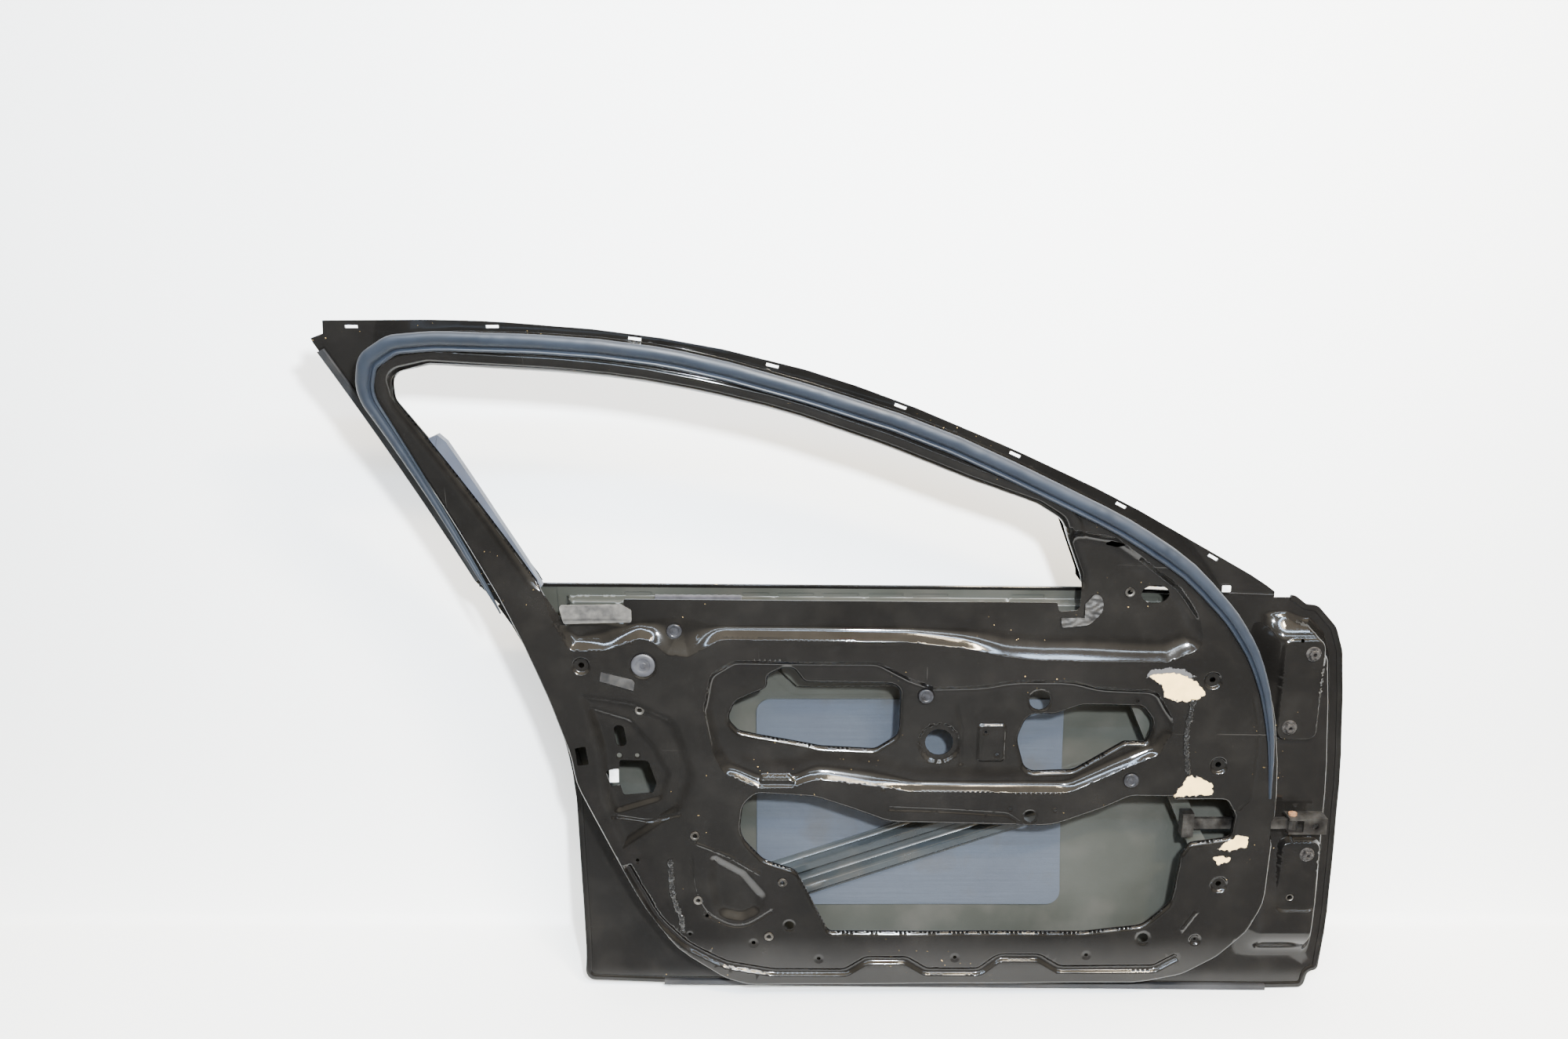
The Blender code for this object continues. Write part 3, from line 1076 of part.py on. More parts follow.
def build_backing_plates():
    """Plates welded behind the inner panel at the latch and the mirror."""
    latch_hole = inset(rounded(LATCH_OPENING_SHARES), -PLATE_HOLE_MARGIN)
    holes = [latch_hole, latch_slot(PLATE_HOLE_MARGIN)]
    level = 2 * LATCH_RECESS[0] + SEAT_GAP + PLATE_SHEET
    sheet("latch_reinforcement", rounded(LATCH_PLATE_SHARES), holes, lambda p: np.full(len(p), level),
          PLATE_SHEET, PRIMER)
    outline = densify(rounded(MIRROR_PLATE_SHARES))
    half = MIRROR_HOLE_LENGTH / 2 + PLATE_HOLE_MARGIN
    rise = MIRROR_HOLE_HEIGHT / 2 + PLATE_HOLE_MARGIN
    hole = ellipse(place(MIRROR_HOLE_SHARES), half, rise, RING_SEGMENTS)
    nut = ellipse(place(RIVET_NUT_SHARES[1]), RIVET_NUT_RADIUS, RIVET_NUT_RADIUS, SMALL_SEGMENTS)
    seat = UPPER_RECESS[0] + SOFT_SEAT_GAP + PLATE_SHEET
    sheet("mirror_reinforcement", outline, [hole, nut], lambda p: lean_y(p[:, 1]) + seat, PLATE_SHEET, PRIMER)


def build_hinge_plates():
    """Thick plates behind the two hinge pads, and the nuts whose collars fill their holes from behind."""
    shoulder = INNER_SHEET + HINGE_PLATE_SHEET + SEAT_GAP
    collar = HINGE_BOLT_HOLE * math.cos(math.pi / SMALL_SEGMENTS) - SEAT_GAP
    profile = [(HINGE_NUT_BORE, 0), (collar, 0), (collar, shoulder), (HINGE_NUT_RADIUS, shoulder),
               (HINGE_NUT_RADIUS, shoulder + HINGE_NUT_HEIGHT), (HINGE_NUT_BORE, shoulder + HINGE_NUT_HEIGHT)]
    for name, (spot, tall, level, bolts) in zip(("upper", "lower"), HINGE_PADS):
        outline = box_loop(spot, HINGE_PAD_WIDTH - HINGE_PLATE_MARGIN, tall - HINGE_PLATE_MARGIN, HINGE_PAD_CORNER)
        holes = [ellipse(place(bolt), HINGE_BOLT_HOLE, HINGE_BOLT_HOLE, SMALL_SEGMENTS) for bolt in bolts]
        back = level + SEAT_GAP + HINGE_PLATE_SHEET
        sheet(f"hinge_reinforcement_{name}", outline, holes, lambda p, y=back: np.full(len(p), y),
              HINGE_PLATE_SHEET, DARK_STEEL)
        face = level - INNER_SHEET + SEAT_GAP
        for end, bolt in zip(("top", "foot"), bolts):
            x, z = place(bolt)
            join_shapes(f"hinge_nut_{name}_{end}", [turned(profile, (x, face, z), (0, 1, 0), RING_SEGMENTS)], ZINC)


def build_front_guide():
    """The channel that guides the front edge of the window glass, cranked back to the panel at its ends."""
    top = Vector(place(GUIDE_TOP_SHARES))
    foot = Vector(place(GUIDE_FOOT_SHARES))
    run = (top - foot).normalized() * GUIDE_TAB_LENGTH
    across = Vector((-run.y, run.x)).normalized() * GUIDE_WIDTH
    stations = [top + run, top, top - run, foot + run, foot, foot - run]
    seat = SEAT_GAP + GUIDE_SHEET
    levels = [seat, seat, GUIDE_LIFT, GUIDE_LIFT, seat, seat]
    vertices = []
    for spot, level in zip(stations, levels):
        for side, wall in ((-0.5, 1), (-0.5, 0), (0.5, 0), (0.5, 1)):
            point = spot + across * side
            vertices.append((point.x, level + wall * GUIDE_DEPTH, point.y))
    faces = []
    for i in range(len(stations) - 1):
        for k in range(3):
            a = i * 4 + k
            faces.append((a, a + 1, a + 5, a + 4))
    thicken(add_object("front_glass_guide", vertices, faces, PRIMER), GUIDE_SHEET)


def build_seals():
    """The weather seal on the frame, the rear glass run, the rear trim and the strip under the sill."""
    path = densify(rounded(SEAL_PATH_SHARES, closed=False), closed=False)
    path = inset(path, -SEAL_INSET, closed=False)
    section = [(across, up * SEAL_HEIGHT) for across, up in SEAL_SECTION_SHARES]
    sweep("door_seal", path, section, lambda p: lean_y(p[:, 1]) - INNER_SHEET - SOFT_SEAT_GAP, RUBBER,
          SEAL_WIDTH, SEAL_END_WIDTH, taper=SEAL_TAPER)
    run = densify(rounded(GLASS_RUN_SHARES, closed=False), closed=False)
    section = [(across, -up * GLASS_RUN_HEIGHT) for across, up in GLASS_RUN_SECTION_SHARES]
    sweep("rear_glass_run", run, section, lambda p: lean_y(p[:, 1]) + WINDOW_LIP_DEPTH + 2 * SOFT_SEAT_GAP,
          HARD_RUBBER, GLASS_RUN_WIDTH)
    trim = densify(rounded(REAR_TRIM_SHARES, closed=False), closed=False)
    section = [(across, up * REAR_TRIM_HEIGHT) for across, up in FLAT_STRIP_SECTION_SHARES]
    sweep("rear_edge_trim", trim, section, lambda p: flange_y(p[:, 1]) - INNER_SHEET - SOFT_SEAT_GAP,
          HARD_RUBBER, REAR_TRIM_WIDTH)
    left = place((SILL_STRIP_SPAN_SHARES[0], 0))[0]
    right = place((SILL_STRIP_SPAN_SHARES[1], 0))[0]
    rear = place(HEM_SHARES[14])
    front = place(HEM_SHARES[13])
    line = [(x, float(np.interp(x, (rear[0], front[0]), (rear[1], front[1]))) + SILL_STRIP_RISE)
            for x in np.linspace(left, right, 5)]
    fold = 2 * SKIN_SHEET + 2 * HEM_GAP + INNER_SHEET
    section = [(across, up * SILL_STRIP_DEPTH) for across, up in FLAT_STRIP_SECTION_SHARES]
    sweep("sill_seal", line, section, lambda p: skin_y(p[:, 1]) - fold - SOFT_SEAT_GAP, HARD_RUBBER,
          SILL_STRIP_HEIGHT)


def build_foams():
    """Foam, tape and felt that stay on the belt, and the bare tape strip."""
    for name, shares, thickness, gap, look in (
            ("belt_foam_rear", REAR_FOAM_SHARES, FOAM_THICKNESS, BENT_SEAT_GAP, FOAM),
            ("belt_tape_front", FRONT_TAPE_SHARES, TAPE_THICKNESS, BENT_SEAT_GAP, TAPE),
            ("tape_strip", TAPE_STRIP_SHARES, TAPE_THICKNESS, SOFT_SEAT_GAP, TAPE)):
        outline = rounded(shares)
        recess = RECESSES[0][0]
        rings = [recess, inset(recess, UPPER_RECESS[1]), inset(WINDOW, -WINDOW_LIP_WIDTH)]
        sheet(name, outline, [], lambda p, seat=gap: panel_face(p) - seat, thickness, look, rings)
    left = place((FELT_SPAN_SHARES[0], 0))[0]
    right = place((FELT_SPAN_SHARES[1], 0))[0]
    level = belt_level(left) - RAIL_SLOT_DROP
    line = [(x, level) for x in np.linspace(left, right, 5)]
    section = [(across, up * FELT_DEPTH) for across, up in FLAT_STRIP_SECTION_SHARES]
    rail_face = OUTER_RAIL_DEPTH + RAIL_SHEET + SOFT_SEAT_GAP
    sweep("belt_felt", line, section, lambda p: flange_y(p[:, 1]) - rail_face, FELT, FELT_HEIGHT)


def build_sealant():
    """The two brushed-on beads of sealant."""
    section = [(across, up * SEALANT_HEIGHT) for across, up in ROUND_SECTION_SHARES]
    for name, table in zip(("sealant_front", "sealant_rear"), SEALANT_PATH_SHARES):
        sweep(name, rounded(table, closed=False), section, lambda p: panel_face(p) - SOFT_SEAT_GAP, SEALANT,
              SEALANT_WIDTH)


def plug_profile(radius, hole):
    """A push-in plug: a domed flange with a dished middle, and a stem in its hole."""
    stem = hole * math.cos(math.pi / SMALL_SEGMENTS) - SEAT_GAP
    return [(0, -PLUG_STEM), (stem * 0.8, -PLUG_STEM), (stem, -PLUG_STEM * 0.6), (stem, 0), (radius, 0),
            (radius * 0.94, PLUG_FLANGE), (radius * 0.66, PLUG_FLANGE), (radius * 0.56, PLUG_FLANGE - PLUG_DISH),
            (0, PLUG_FLANGE - PLUG_DISH)]


def build_small_parts():
    """Plugs, grommets and rivet nuts."""
    for name, share, radius, hole in (
            ("access_plug", ACCESS_PLUG_SHARES, ACCESS_PLUG_RADIUS, ACCESS_PLUG_HOLE),
            ("trim_grommet_rear", GROMMET_SHARES[0], GROMMET_RADIUS, GROMMET_HOLE),
            ("trim_grommet_middle", GROMMET_SHARES[1], GROMMET_RADIUS, GROMMET_HOLE),
            ("trim_grommet_front", GROMMET_SHARES[2], GROMMET_RADIUS, GROMMET_HOLE)):
        x, z = place(share)
        face = float(np.min(panel_face(np.array(ellipse((x, z), radius, radius, SMALL_SEGMENTS)))))
        shape = turned(plug_profile(radius, hole), (x, face - SEAT_GAP, z), (0, -1, 0), RING_SEGMENTS)
        join_shapes(name, [shape], PLUG_PLASTIC)
    barrel = RIVET_NUT_HOLE * math.cos(math.pi / SMALL_SEGMENTS) - SEAT_GAP
    profile = [(RIVET_NUT_BORE, -RIVET_NUT_LENGTH), (barrel, -RIVET_NUT_LENGTH), (barrel, 0),
               (RIVET_NUT_RADIUS, 0), (RIVET_NUT_RADIUS, RIVET_NUT_FLANGE), (RIVET_NUT_BORE, RIVET_NUT_FLANGE)]
    for i, share in enumerate(RIVET_NUT_SHARES):
        x, z = place(share)
        face = float(panel_face(np.array([(x, z)]))[0]) - SEAT_GAP
        join_shapes(f"rivet_nut_{i + 1}", [turned(profile, (x, face, z), (0, -1, 0), SMALL_SEGMENTS)], ZINC)


def build_check():
    """The door check: housing, arm with its end stop, pin, and the bracket that swings on the pin."""
    edge, level = place((CHECK_EDGE_SHARE, CHECK_HEIGHT_SHARE))
    pin_x = edge + CHECK_PIN_REACH
    tail_x = edge - CHECK_ARM_TAIL
    half = CHECK_ARM_HEIGHT / 2
    thick = CHECK_ARM_THICKNESS / 2
    steps = SMALL_SEGMENTS
    arm_loop = [(tail_x - edge, -thick), (CHECK_PIN_REACH - CHECK_EYE_RADIUS, -thick)]
    for k in range(steps + 1):
        angle = -math.pi * 0.75 + 1.5 * math.pi * k / steps
        arm_loop.append((CHECK_PIN_REACH + CHECK_EYE_RADIUS * math.cos(angle), CHECK_EYE_RADIUS * math.sin(angle)))
    arm_loop += [(CHECK_PIN_REACH - CHECK_EYE_RADIUS, thick), (tail_x - edge, thick)]
    arm = join_shapes("check_arm", [prism(arm_loop, -half, half, "Z")], DARK_STEEL)
    arm.location = (edge, CHECK_DEPTH, level)
    bore = turned([(0, -CHECK_ARM_HEIGHT), (CHECK_PIN_RADIUS + CHECK_PIN_CLEARANCE, -CHECK_ARM_HEIGHT),
                   (CHECK_PIN_RADIUS + CHECK_PIN_CLEARANCE, CHECK_ARM_HEIGHT), (0, CHECK_ARM_HEIGHT)],
                  (pin_x, CHECK_DEPTH, level), (0, 0, 1), RING_SEGMENTS)
    cut(arm, bore, "arm_bore")
    stop_low = (tail_x - CHECK_STOP_LENGTH / 2, CHECK_DEPTH - CHECK_STOP_THICKNESS / 2, level - CHECK_STOP_HEIGHT / 2)
    stop_high = (tail_x + CHECK_STOP_LENGTH / 2, CHECK_DEPTH + CHECK_STOP_THICKNESS / 2, level + CHECK_STOP_HEIGHT / 2)
    stop = join_shapes("check_end_stop", [block(stop_low, stop_high)], DARK_STEEL)
    play = CHECK_STOP_SLOT_CLEARANCE
    slot = block((tail_x - play, CHECK_DEPTH - thick - play, level - half - play),
                 (tail_x + CHECK_STOP_LENGTH, CHECK_DEPTH + thick + play, level + half + play))
    cut(stop, slot, "stop_slot")
    back = edge - CHECK_HOUSING_BACK
    seat = SEAT_GAP
    housing = join_shapes("check_housing", [block(
        (back - CHECK_HOUSING_LENGTH, seat, level - CHECK_HOUSING_HEIGHT / 2),
        (back, seat + CHECK_HOUSING_DEPTH, level + CHECK_HOUSING_HEIGHT / 2))], DARK_STEEL)
    play = CHECK_SLOT_CLEARANCE
    slot = block((back - 2 * CHECK_HOUSING_LENGTH, CHECK_DEPTH - thick - play, level - half - play),
                 (back + CHECK_HOUSING_LENGTH, CHECK_DEPTH + thick + play, level + half + play))
    cut(housing, slot, "housing_slot")
    build_check_bracket(pin_x, level)


def build_check_bracket(pin_x, level):
    """The pillar bracket: two ears either side of the arm's eye, and a web with a bolt hole."""
    gap = CHECK_ARM_HEIGHT / 2 + CHECK_EAR_CLEARANCE
    top = gap + CHECK_EAR_SHEET
    front = -CHECK_EAR_DEPTH / 2
    reach = CHECK_EAR_REACH
    outline = [(-CHECK_EYE_RADIUS, front), (reach, front), (reach, -front), (-CHECK_EYE_RADIUS, -front)]
    bracket = join_shapes("check_bracket", [prism(outline, -top, top, "Z")], DARK_STEEL)
    bracket.location = (pin_x, CHECK_DEPTH, level)
    web_back = CHECK_DEPTH + front + CHECK_EAR_SHEET
    slot = block((pin_x - CHECK_EAR_REACH, web_back, level - gap),
                 (pin_x + 2 * CHECK_EAR_REACH, web_back + CHECK_EAR_REACH, level + gap))
    cut(bracket, slot, "bracket_slot")
    mouth = block((pin_x - CHECK_EAR_REACH, web_back - CHECK_EAR_REACH, level - gap),
                  (pin_x + CHECK_WEB_START, web_back + CHECK_EAR_REACH, level + gap))
    cut(bracket, mouth, "bracket_mouth")
    bore_radius = CHECK_PIN_RADIUS + CHECK_PIN_CLEARANCE
    bore = turned([(0, -2 * top), (bore_radius, -2 * top), (bore_radius, 2 * top), (0, 2 * top)],
                  (pin_x, CHECK_DEPTH, level), (0, 0, 1), RING_SEGMENTS)
    cut(bracket, bore, "bracket_bore")
    hole_x = pin_x + (CHECK_WEB_START + CHECK_EAR_REACH) / 2
    hole = turned([(0, -CHECK_EAR_REACH), (CHECK_BRACKET_HOLE, -CHECK_EAR_REACH),
                   (CHECK_BRACKET_HOLE, CHECK_EAR_REACH), (0, CHECK_EAR_REACH)],
                  (hole_x, CHECK_DEPTH, level), (0, 1, 0), SMALL_SEGMENTS)
    cut(bracket, hole, "bracket_hole")
    head = top + SEAT_GAP
    end = head + CHECK_PIN_HEAD_HEIGHT
    profile = [(0, -end), (CHECK_PIN_HEAD_RADIUS, -end), (CHECK_PIN_HEAD_RADIUS, -head), (CHECK_PIN_RADIUS, -head),
               (CHECK_PIN_RADIUS, head), (CHECK_PIN_HEAD_RADIUS, head), (CHECK_PIN_HEAD_RADIUS, end), (0, end)]
    pin = join_shapes("check_pin", [turned(profile, (0, 0, 0), (0, 0, 1), RING_SEGMENTS)], RUSTY_STEEL)
    pin.location = (pin_x, CHECK_DEPTH, level)


build_inner_panel()
build_outer_skin()
build_window_frame()
build_outer_belt_rail()
build_inner_belt_rail()
build_beam()
build_beam_brackets()
build_damping_pad()
build_handle_plate()
build_backing_plates()
build_hinge_plates()
build_front_guide()
build_seals()
build_foams()
build_sealant()
build_small_parts()
build_check()

upper_x, upper_z = place(HINGE_PAD_UPPER_SHARES)
DOOR.location = (-upper_x, INNER_SHEET - HINGE_PAD_DEPTH_UPPER, -upper_z)
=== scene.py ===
"""Studio view of a bare front left door shell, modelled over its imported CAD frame.

Places are worked out in the drawing frame of the part: +X to the front of the car, +Y outboard, +Z up, with
z = 0 at the foot of the skin. DRAWING_ORIGIN moves them to the row frame. Outlines are tables of shares: the
first number is a share of the door's length, the second of its height, and a third is a corner's radius.
"""
import json
import math

import bpy
import numpy as np
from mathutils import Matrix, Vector
from mathutils.geometry import delaunay_2d_cdt


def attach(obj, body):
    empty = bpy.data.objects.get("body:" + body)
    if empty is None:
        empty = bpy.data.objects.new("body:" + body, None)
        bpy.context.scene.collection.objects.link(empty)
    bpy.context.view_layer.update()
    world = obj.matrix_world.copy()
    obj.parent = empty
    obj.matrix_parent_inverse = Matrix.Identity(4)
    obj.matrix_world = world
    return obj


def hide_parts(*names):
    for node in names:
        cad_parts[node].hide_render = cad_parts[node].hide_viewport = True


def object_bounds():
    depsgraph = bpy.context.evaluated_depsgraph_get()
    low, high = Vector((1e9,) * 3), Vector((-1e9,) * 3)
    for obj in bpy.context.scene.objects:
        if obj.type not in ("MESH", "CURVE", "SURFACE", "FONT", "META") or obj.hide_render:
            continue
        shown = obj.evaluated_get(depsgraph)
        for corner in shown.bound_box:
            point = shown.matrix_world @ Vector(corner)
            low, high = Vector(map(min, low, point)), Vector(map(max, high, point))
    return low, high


bl_info = {
    "name": "Door Shell",
    "version": (1, 0, 0),
    "blender": (4, 5, 0),
    "location": "View3D > Sidebar > Door Shell",
    "description": "Builds the detailed pieces, finishes and stage of a bare car door shell",
    "category": "Add Mesh",
}

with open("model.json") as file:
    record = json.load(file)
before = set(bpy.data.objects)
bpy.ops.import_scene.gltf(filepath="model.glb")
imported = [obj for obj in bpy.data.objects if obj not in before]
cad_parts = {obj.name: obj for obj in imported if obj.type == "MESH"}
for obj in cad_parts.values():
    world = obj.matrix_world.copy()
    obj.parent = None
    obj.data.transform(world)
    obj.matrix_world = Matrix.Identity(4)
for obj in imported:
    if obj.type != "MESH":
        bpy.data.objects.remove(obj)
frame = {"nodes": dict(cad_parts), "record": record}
CAD_BOX = [list(corner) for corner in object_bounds()]
DRAWING_ORIGIN = np.array([-0.725274, -0.0456, -0.471])
DOOR_LENGTH = 1.382
CENTRE_SHARE = 0.4277
MILLIMETRE = 0.001
FAR_OFF = 9.0

# Sheets and turned lips in metres; fasteners sit FASTENER_SEAT inboard of the panel's outboard face
PANEL_THICKNESS = 0.0014
SKIN_THICKNESS = 0.001
FASTENER_SEAT = 0.0017
LIP_WIDTH, LIP_DEPTH = 0.007, 0.006
HOOP_LIP_WIDTH, HOOP_LIP_DEPTH = 0.008, 0.007

# Outlines of the pressing, as shares
FRAME_EDGE_SHARES = [
    (0.1185, 0.627, 0), (0.000, 0.970, 0.002), (-0.001, 0.976, 0), (0.011, 0.982, 0), (0.013, 0.999, 0),
    (0.108, 1.000, 0.5), (0.165, 0.998, 0.6), (0.286, 0.984, 0.8), (0.410, 0.951, 0.8),
    (0.524, 0.898, 0.9), (0.646, 0.823, 0.9), (0.753, 0.751, 0.9), (0.904, 0.629, 0.4), (0.921, 0.611, 0)]
HEM_SHARES = [
    (0.921, 0.606, 0), (0.942, 0.606, 0.016), (0.955, 0.592, 0.010), (0.967, 0.590, 0.016),
    (0.989, 0.557, 0.03), (0.999, 0.520, 0.04), (1.006, 0.450, 0.3), (1.013, 0.335, 0.5),
    (1.012, 0.205, 0.5), (1.008, 0.102, 0.3), (0.9995, 0.030, 0.010), (0.989, 0.028, 0.012),
    (0.984, 0.005, 0.012), (0.943, 0.004, 0), (0.299, 0.012, 0), (0.215, 0.016, 0.014),
    (0.216, 0.058, 0.2), (0.211, 0.199, 0.3), (0.208, 0.310, 0.3), (0.199, 0.380, 0.3),
    (0.186, 0.440, 0.3), (0.168, 0.510, 0.3), (0.146, 0.575, 0.2), (0.122, 0.622, 0)]
BELT_SHARES = [(0.186, 0.623, 0), (0.727, 0.617, 0.2)]
PLATEAU_SHARES = [
    (0.252, 0.247, 0.2), (0.218, 0.351, 0.1), (0.214, 0.392, 0.1), (0.195, 0.474, 0.3),
    (0.171, 0.560, 0.3), (0.150, 0.625, 0.3), (0.048, 0.912, 0.05), (0.058, 0.952, 0.03),
    (0.083, 0.974, 0.04), (0.120, 0.981, 0.3), (0.206, 0.978, 0.5), (0.289, 0.969, 0.6),
    (0.358, 0.950, 0.6), (0.450, 0.912, 0.7), (0.560, 0.860, 0.7), (0.646, 0.804, 0.8),
    (0.753, 0.728, 0.6), (0.820, 0.668, 0.3), (0.868, 0.600, 0.2), (0.893, 0.548, 0.2),
    (0.910, 0.490, 0.3), (0.922, 0.415, 0.4), (0.927, 0.310, 0.5), (0.924, 0.165, 0.08),
    (0.909, 0.118, 0.05), (0.880, 0.078, 0.06), (0.845, 0.049, 0.06), (0.800, 0.036, 0.1),
    (0.391, 0.032, 0.06), (0.366, 0.043, 0.06), (0.316, 0.090, 0.12), (0.280, 0.164, 0.2)]
WINDOW_SHARES = [
    (0.190, 0.640, 0.006), (0.208, 0.593, 0.006), (0.270, 0.593, 0.003), (0.271, 0.618, 0.003),
    (0.695, 0.613, 0.003), (0.697, 0.600, 0.003), (0.717, 0.602, 0.006), (0.718, 0.646, 0.03),
    (0.693, 0.732, 0.03), (0.668, 0.754, 0.03), (0.604, 0.787, 0.3), (0.523, 0.834, 0.5),
    (0.427, 0.882, 0.5), (0.357, 0.907, 0.5), (0.287, 0.926, 0.5), (0.225, 0.935, 0.5),
    (0.110, 0.945, 0.02), (0.074, 0.934, 0.022), (0.073, 0.900, 0.02)]
OPENING_A_SHARES = [
    (0.426, 0.518, 0.012), (0.411, 0.506, 0.012), (0.411, 0.488, 0.01), (0.379, 0.468, 0.02),
    (0.371, 0.442, 0.015), (0.382, 0.424, 0.012), (0.402, 0.418, 0.02), (0.436, 0.409, 0.05),
    (0.465, 0.401, 0.05), (0.520, 0.397, 0.02), (0.543, 0.418, 0.02), (0.544, 0.494, 0.016),
    (0.448, 0.496, 0.015), (0.437, 0.518, 0.012)]
OPENING_B_SHARES = [
    (0.662, 0.412, 0.03), (0.672, 0.449, 0.02), (0.700, 0.449, 0.03), (0.726, 0.462, 0.03),
    (0.786, 0.461, 0.012), (0.799, 0.438, 0.02), (0.792, 0.409, 0.008), (0.770, 0.409, 0.008),
    (0.720, 0.366, 0.03), (0.672, 0.363, 0.018)]
OPENING_C_SHARES = [
    (0.400, 0.335, 0.02), (0.459, 0.330, 0.06), (0.496, 0.312, 0.1), (0.535, 0.291, 0.06),
    (0.700, 0.285, 0.08), (0.751, 0.312, 0.06), (0.778, 0.331, 0.03), (0.822, 0.330, 0),
    (0.823, 0.325, 0), (0.876, 0.325, 0.012), (0.886, 0.300, 0.01), (0.884, 0.268, 0.01),
    (0.842, 0.259, 0.01), (0.834, 0.240, 0.02), (0.828, 0.165, 0.03), (0.800, 0.128, 0.03),
    (0.740, 0.118, 0.01), (0.474, 0.118, 0.01), (0.440, 0.216, 0.02), (0.407, 0.232, 0.03),
    (0.382, 0.270, 0.04), (0.386, 0.318, 0.03)]
LATCH_OPENING_SHARES = [
    (0.248, 0.368, 0.003), (0.262, 0.372, 0.003), (0.262, 0.384, 0.003), (0.291, 0.383, 0.008),
    (0.299, 0.348, 0.008), (0.295, 0.334, 0.004), (0.265, 0.330, 0.004), (0.262, 0.346, 0),
    (0.253, 0.343, 0)]
EYE_HOLE_SHARES = [(0.735, 0.697, 0.004), (0.742, 0.703, 0.004), (0.758, 0.699, 0.002), (0.748, 0.693, 0.004)]
EDGE_NOTCH_SHARES = [(0.2185, 0.405, 0.002), (0.229, 0.408, 0.002), (0.232, 0.381, 0.002), (0.2205, 0.379, 0.002)]
LATCH_SLOT_SHARES = [
    (0.2569, 0.4365, 0.006), (0.2670, 0.4350, 0.006), (0.2705, 0.4055, 0.006), (0.2600, 0.4045, 0.006)]

# Flanks that run between two outlines, as (foot outline, top outline, depth)
UPPER_FOOT_SHARES = [
    (0.218, 0.548, 0.01), (0.252, 0.548, 0.03), (0.286, 0.566, 0.01), (0.297, 0.563, 0.01),
    (0.313, 0.542, 0.012), (0.334, 0.539, 0.012), (0.350, 0.552, 0.02), (0.366, 0.565, 0.03), (0.550, 0.561, 0.2),
    (0.609, 0.551, 0.2), (0.647, 0.539, 0.1), (0.683, 0.534, 0.1), (0.805, 0.531, 0.02),
    (0.841, 0.553, 0.022), (0.832, 0.602, 0.06), (0.815, 0.637, 0.06), (0.776, 0.679, 0.05),
    (0.745, 0.711, 0.02), (0.690, 0.725, 0), (0.300, 0.690, 0), (0.190, 0.645, 0.01), (0.202, 0.590, 0.01)]
UPPER_TOP_SHARES = [
    (0.222, 0.566, 0.01), (0.256, 0.584, 0.03), (0.295, 0.590, 0.03), (0.318, 0.594, 0.02), (0.335, 0.593, 0.012),
    (0.356, 0.582, 0.02), (0.550, 0.580, 0.3), (0.631, 0.577, 0.3), (0.681, 0.568, 0.2), (0.799, 0.566, 0.02),
    (0.822, 0.575, 0.01), (0.814, 0.602, 0.04), (0.795, 0.634, 0.04), (0.760, 0.664, 0.04),
    (0.738, 0.690, 0.01), (0.690, 0.700, 0), (0.300, 0.670, 0), (0.205, 0.640, 0.01), (0.212, 0.600, 0.01)]
CENTRE_FOOT_SHARES = [
    (0.347, 0.463, 0.02), (0.354, 0.514, 0.02), (0.377, 0.534, 0.02), (0.522, 0.532, 0.03),
    (0.553, 0.509, 0.04), (0.577, 0.496, 0.04), (0.624, 0.498, 0.1), (0.655, 0.506, 0.1),
    (0.715, 0.506, 0.1), (0.738, 0.496, 0.1), (0.797, 0.491, 0.02), (0.819, 0.440, 0.03),
    (0.803, 0.395, 0.02), (0.778, 0.380, 0.04), (0.716, 0.338, 0.04), (0.556, 0.340, 0.1),
    (0.459, 0.360, 0.08), (0.436, 0.345, 0.008), (0.402, 0.345, 0.008), (0.366, 0.368, 0.03), (0.356, 0.400, 0.05)]
CENTRE_TOP_SHARES = [
    (0.358, 0.463, 0.02), (0.364, 0.506, 0.02), (0.382, 0.522, 0.02), (0.517, 0.520, 0.03),
    (0.549, 0.495, 0.04), (0.575, 0.484, 0.04), (0.624, 0.485, 0.1), (0.657, 0.493, 0.1),
    (0.713, 0.493, 0.1), (0.738, 0.481, 0.1), (0.790, 0.479, 0.015), (0.807, 0.440, 0.03),
    (0.794, 0.409, 0.015), (0.774, 0.402, 0.03), (0.708, 0.353, 0.04), (0.560, 0.353, 0.06), (0.520, 0.371, 0.06),
    (0.459, 0.379, 0.03), (0.440, 0.366, 0.012), (0.402, 0.366, 0.012), (0.378, 0.380, 0.03), (0.367, 0.405, 0.05)]
LATCH_OUTER_SHARES = [
    (0.222, 0.490, 0.008), (0.278, 0.478, 0.03), (0.322, 0.450, 0.04), (0.342, 0.364, 0.04),
    (0.327, 0.310, 0.04), (0.262, 0.246, 0.006), (0.241, 0.330, 0.06), (0.2375, 0.400, 0.05)]
LATCH_INNER_SHARES = [
    (0.230, 0.470, 0.006), (0.276, 0.449, 0.02), (0.299, 0.410, 0.03), (0.316, 0.364, 0.02),
    (0.307, 0.323, 0.02), (0.256, 0.301, 0.01), (0.247, 0.340, 0.03), (0.244, 0.400, 0.03)]
SPEAKER_SHARES = [
    (0.349, 0.252, 0.012), (0.390, 0.219, 0.02), (0.412, 0.180, 0.02), (0.410, 0.150, 0.03),
    (0.385, 0.132, 0.03), (0.354, 0.142, 0.03), (0.347, 0.200, 0.06)]
FACET_SHARES = [(0.404, 0.364, 0.004), (0.434, 0.364, 0.004), (0.444, 0.349, 0.006), (0.400, 0.349, 0.006)]
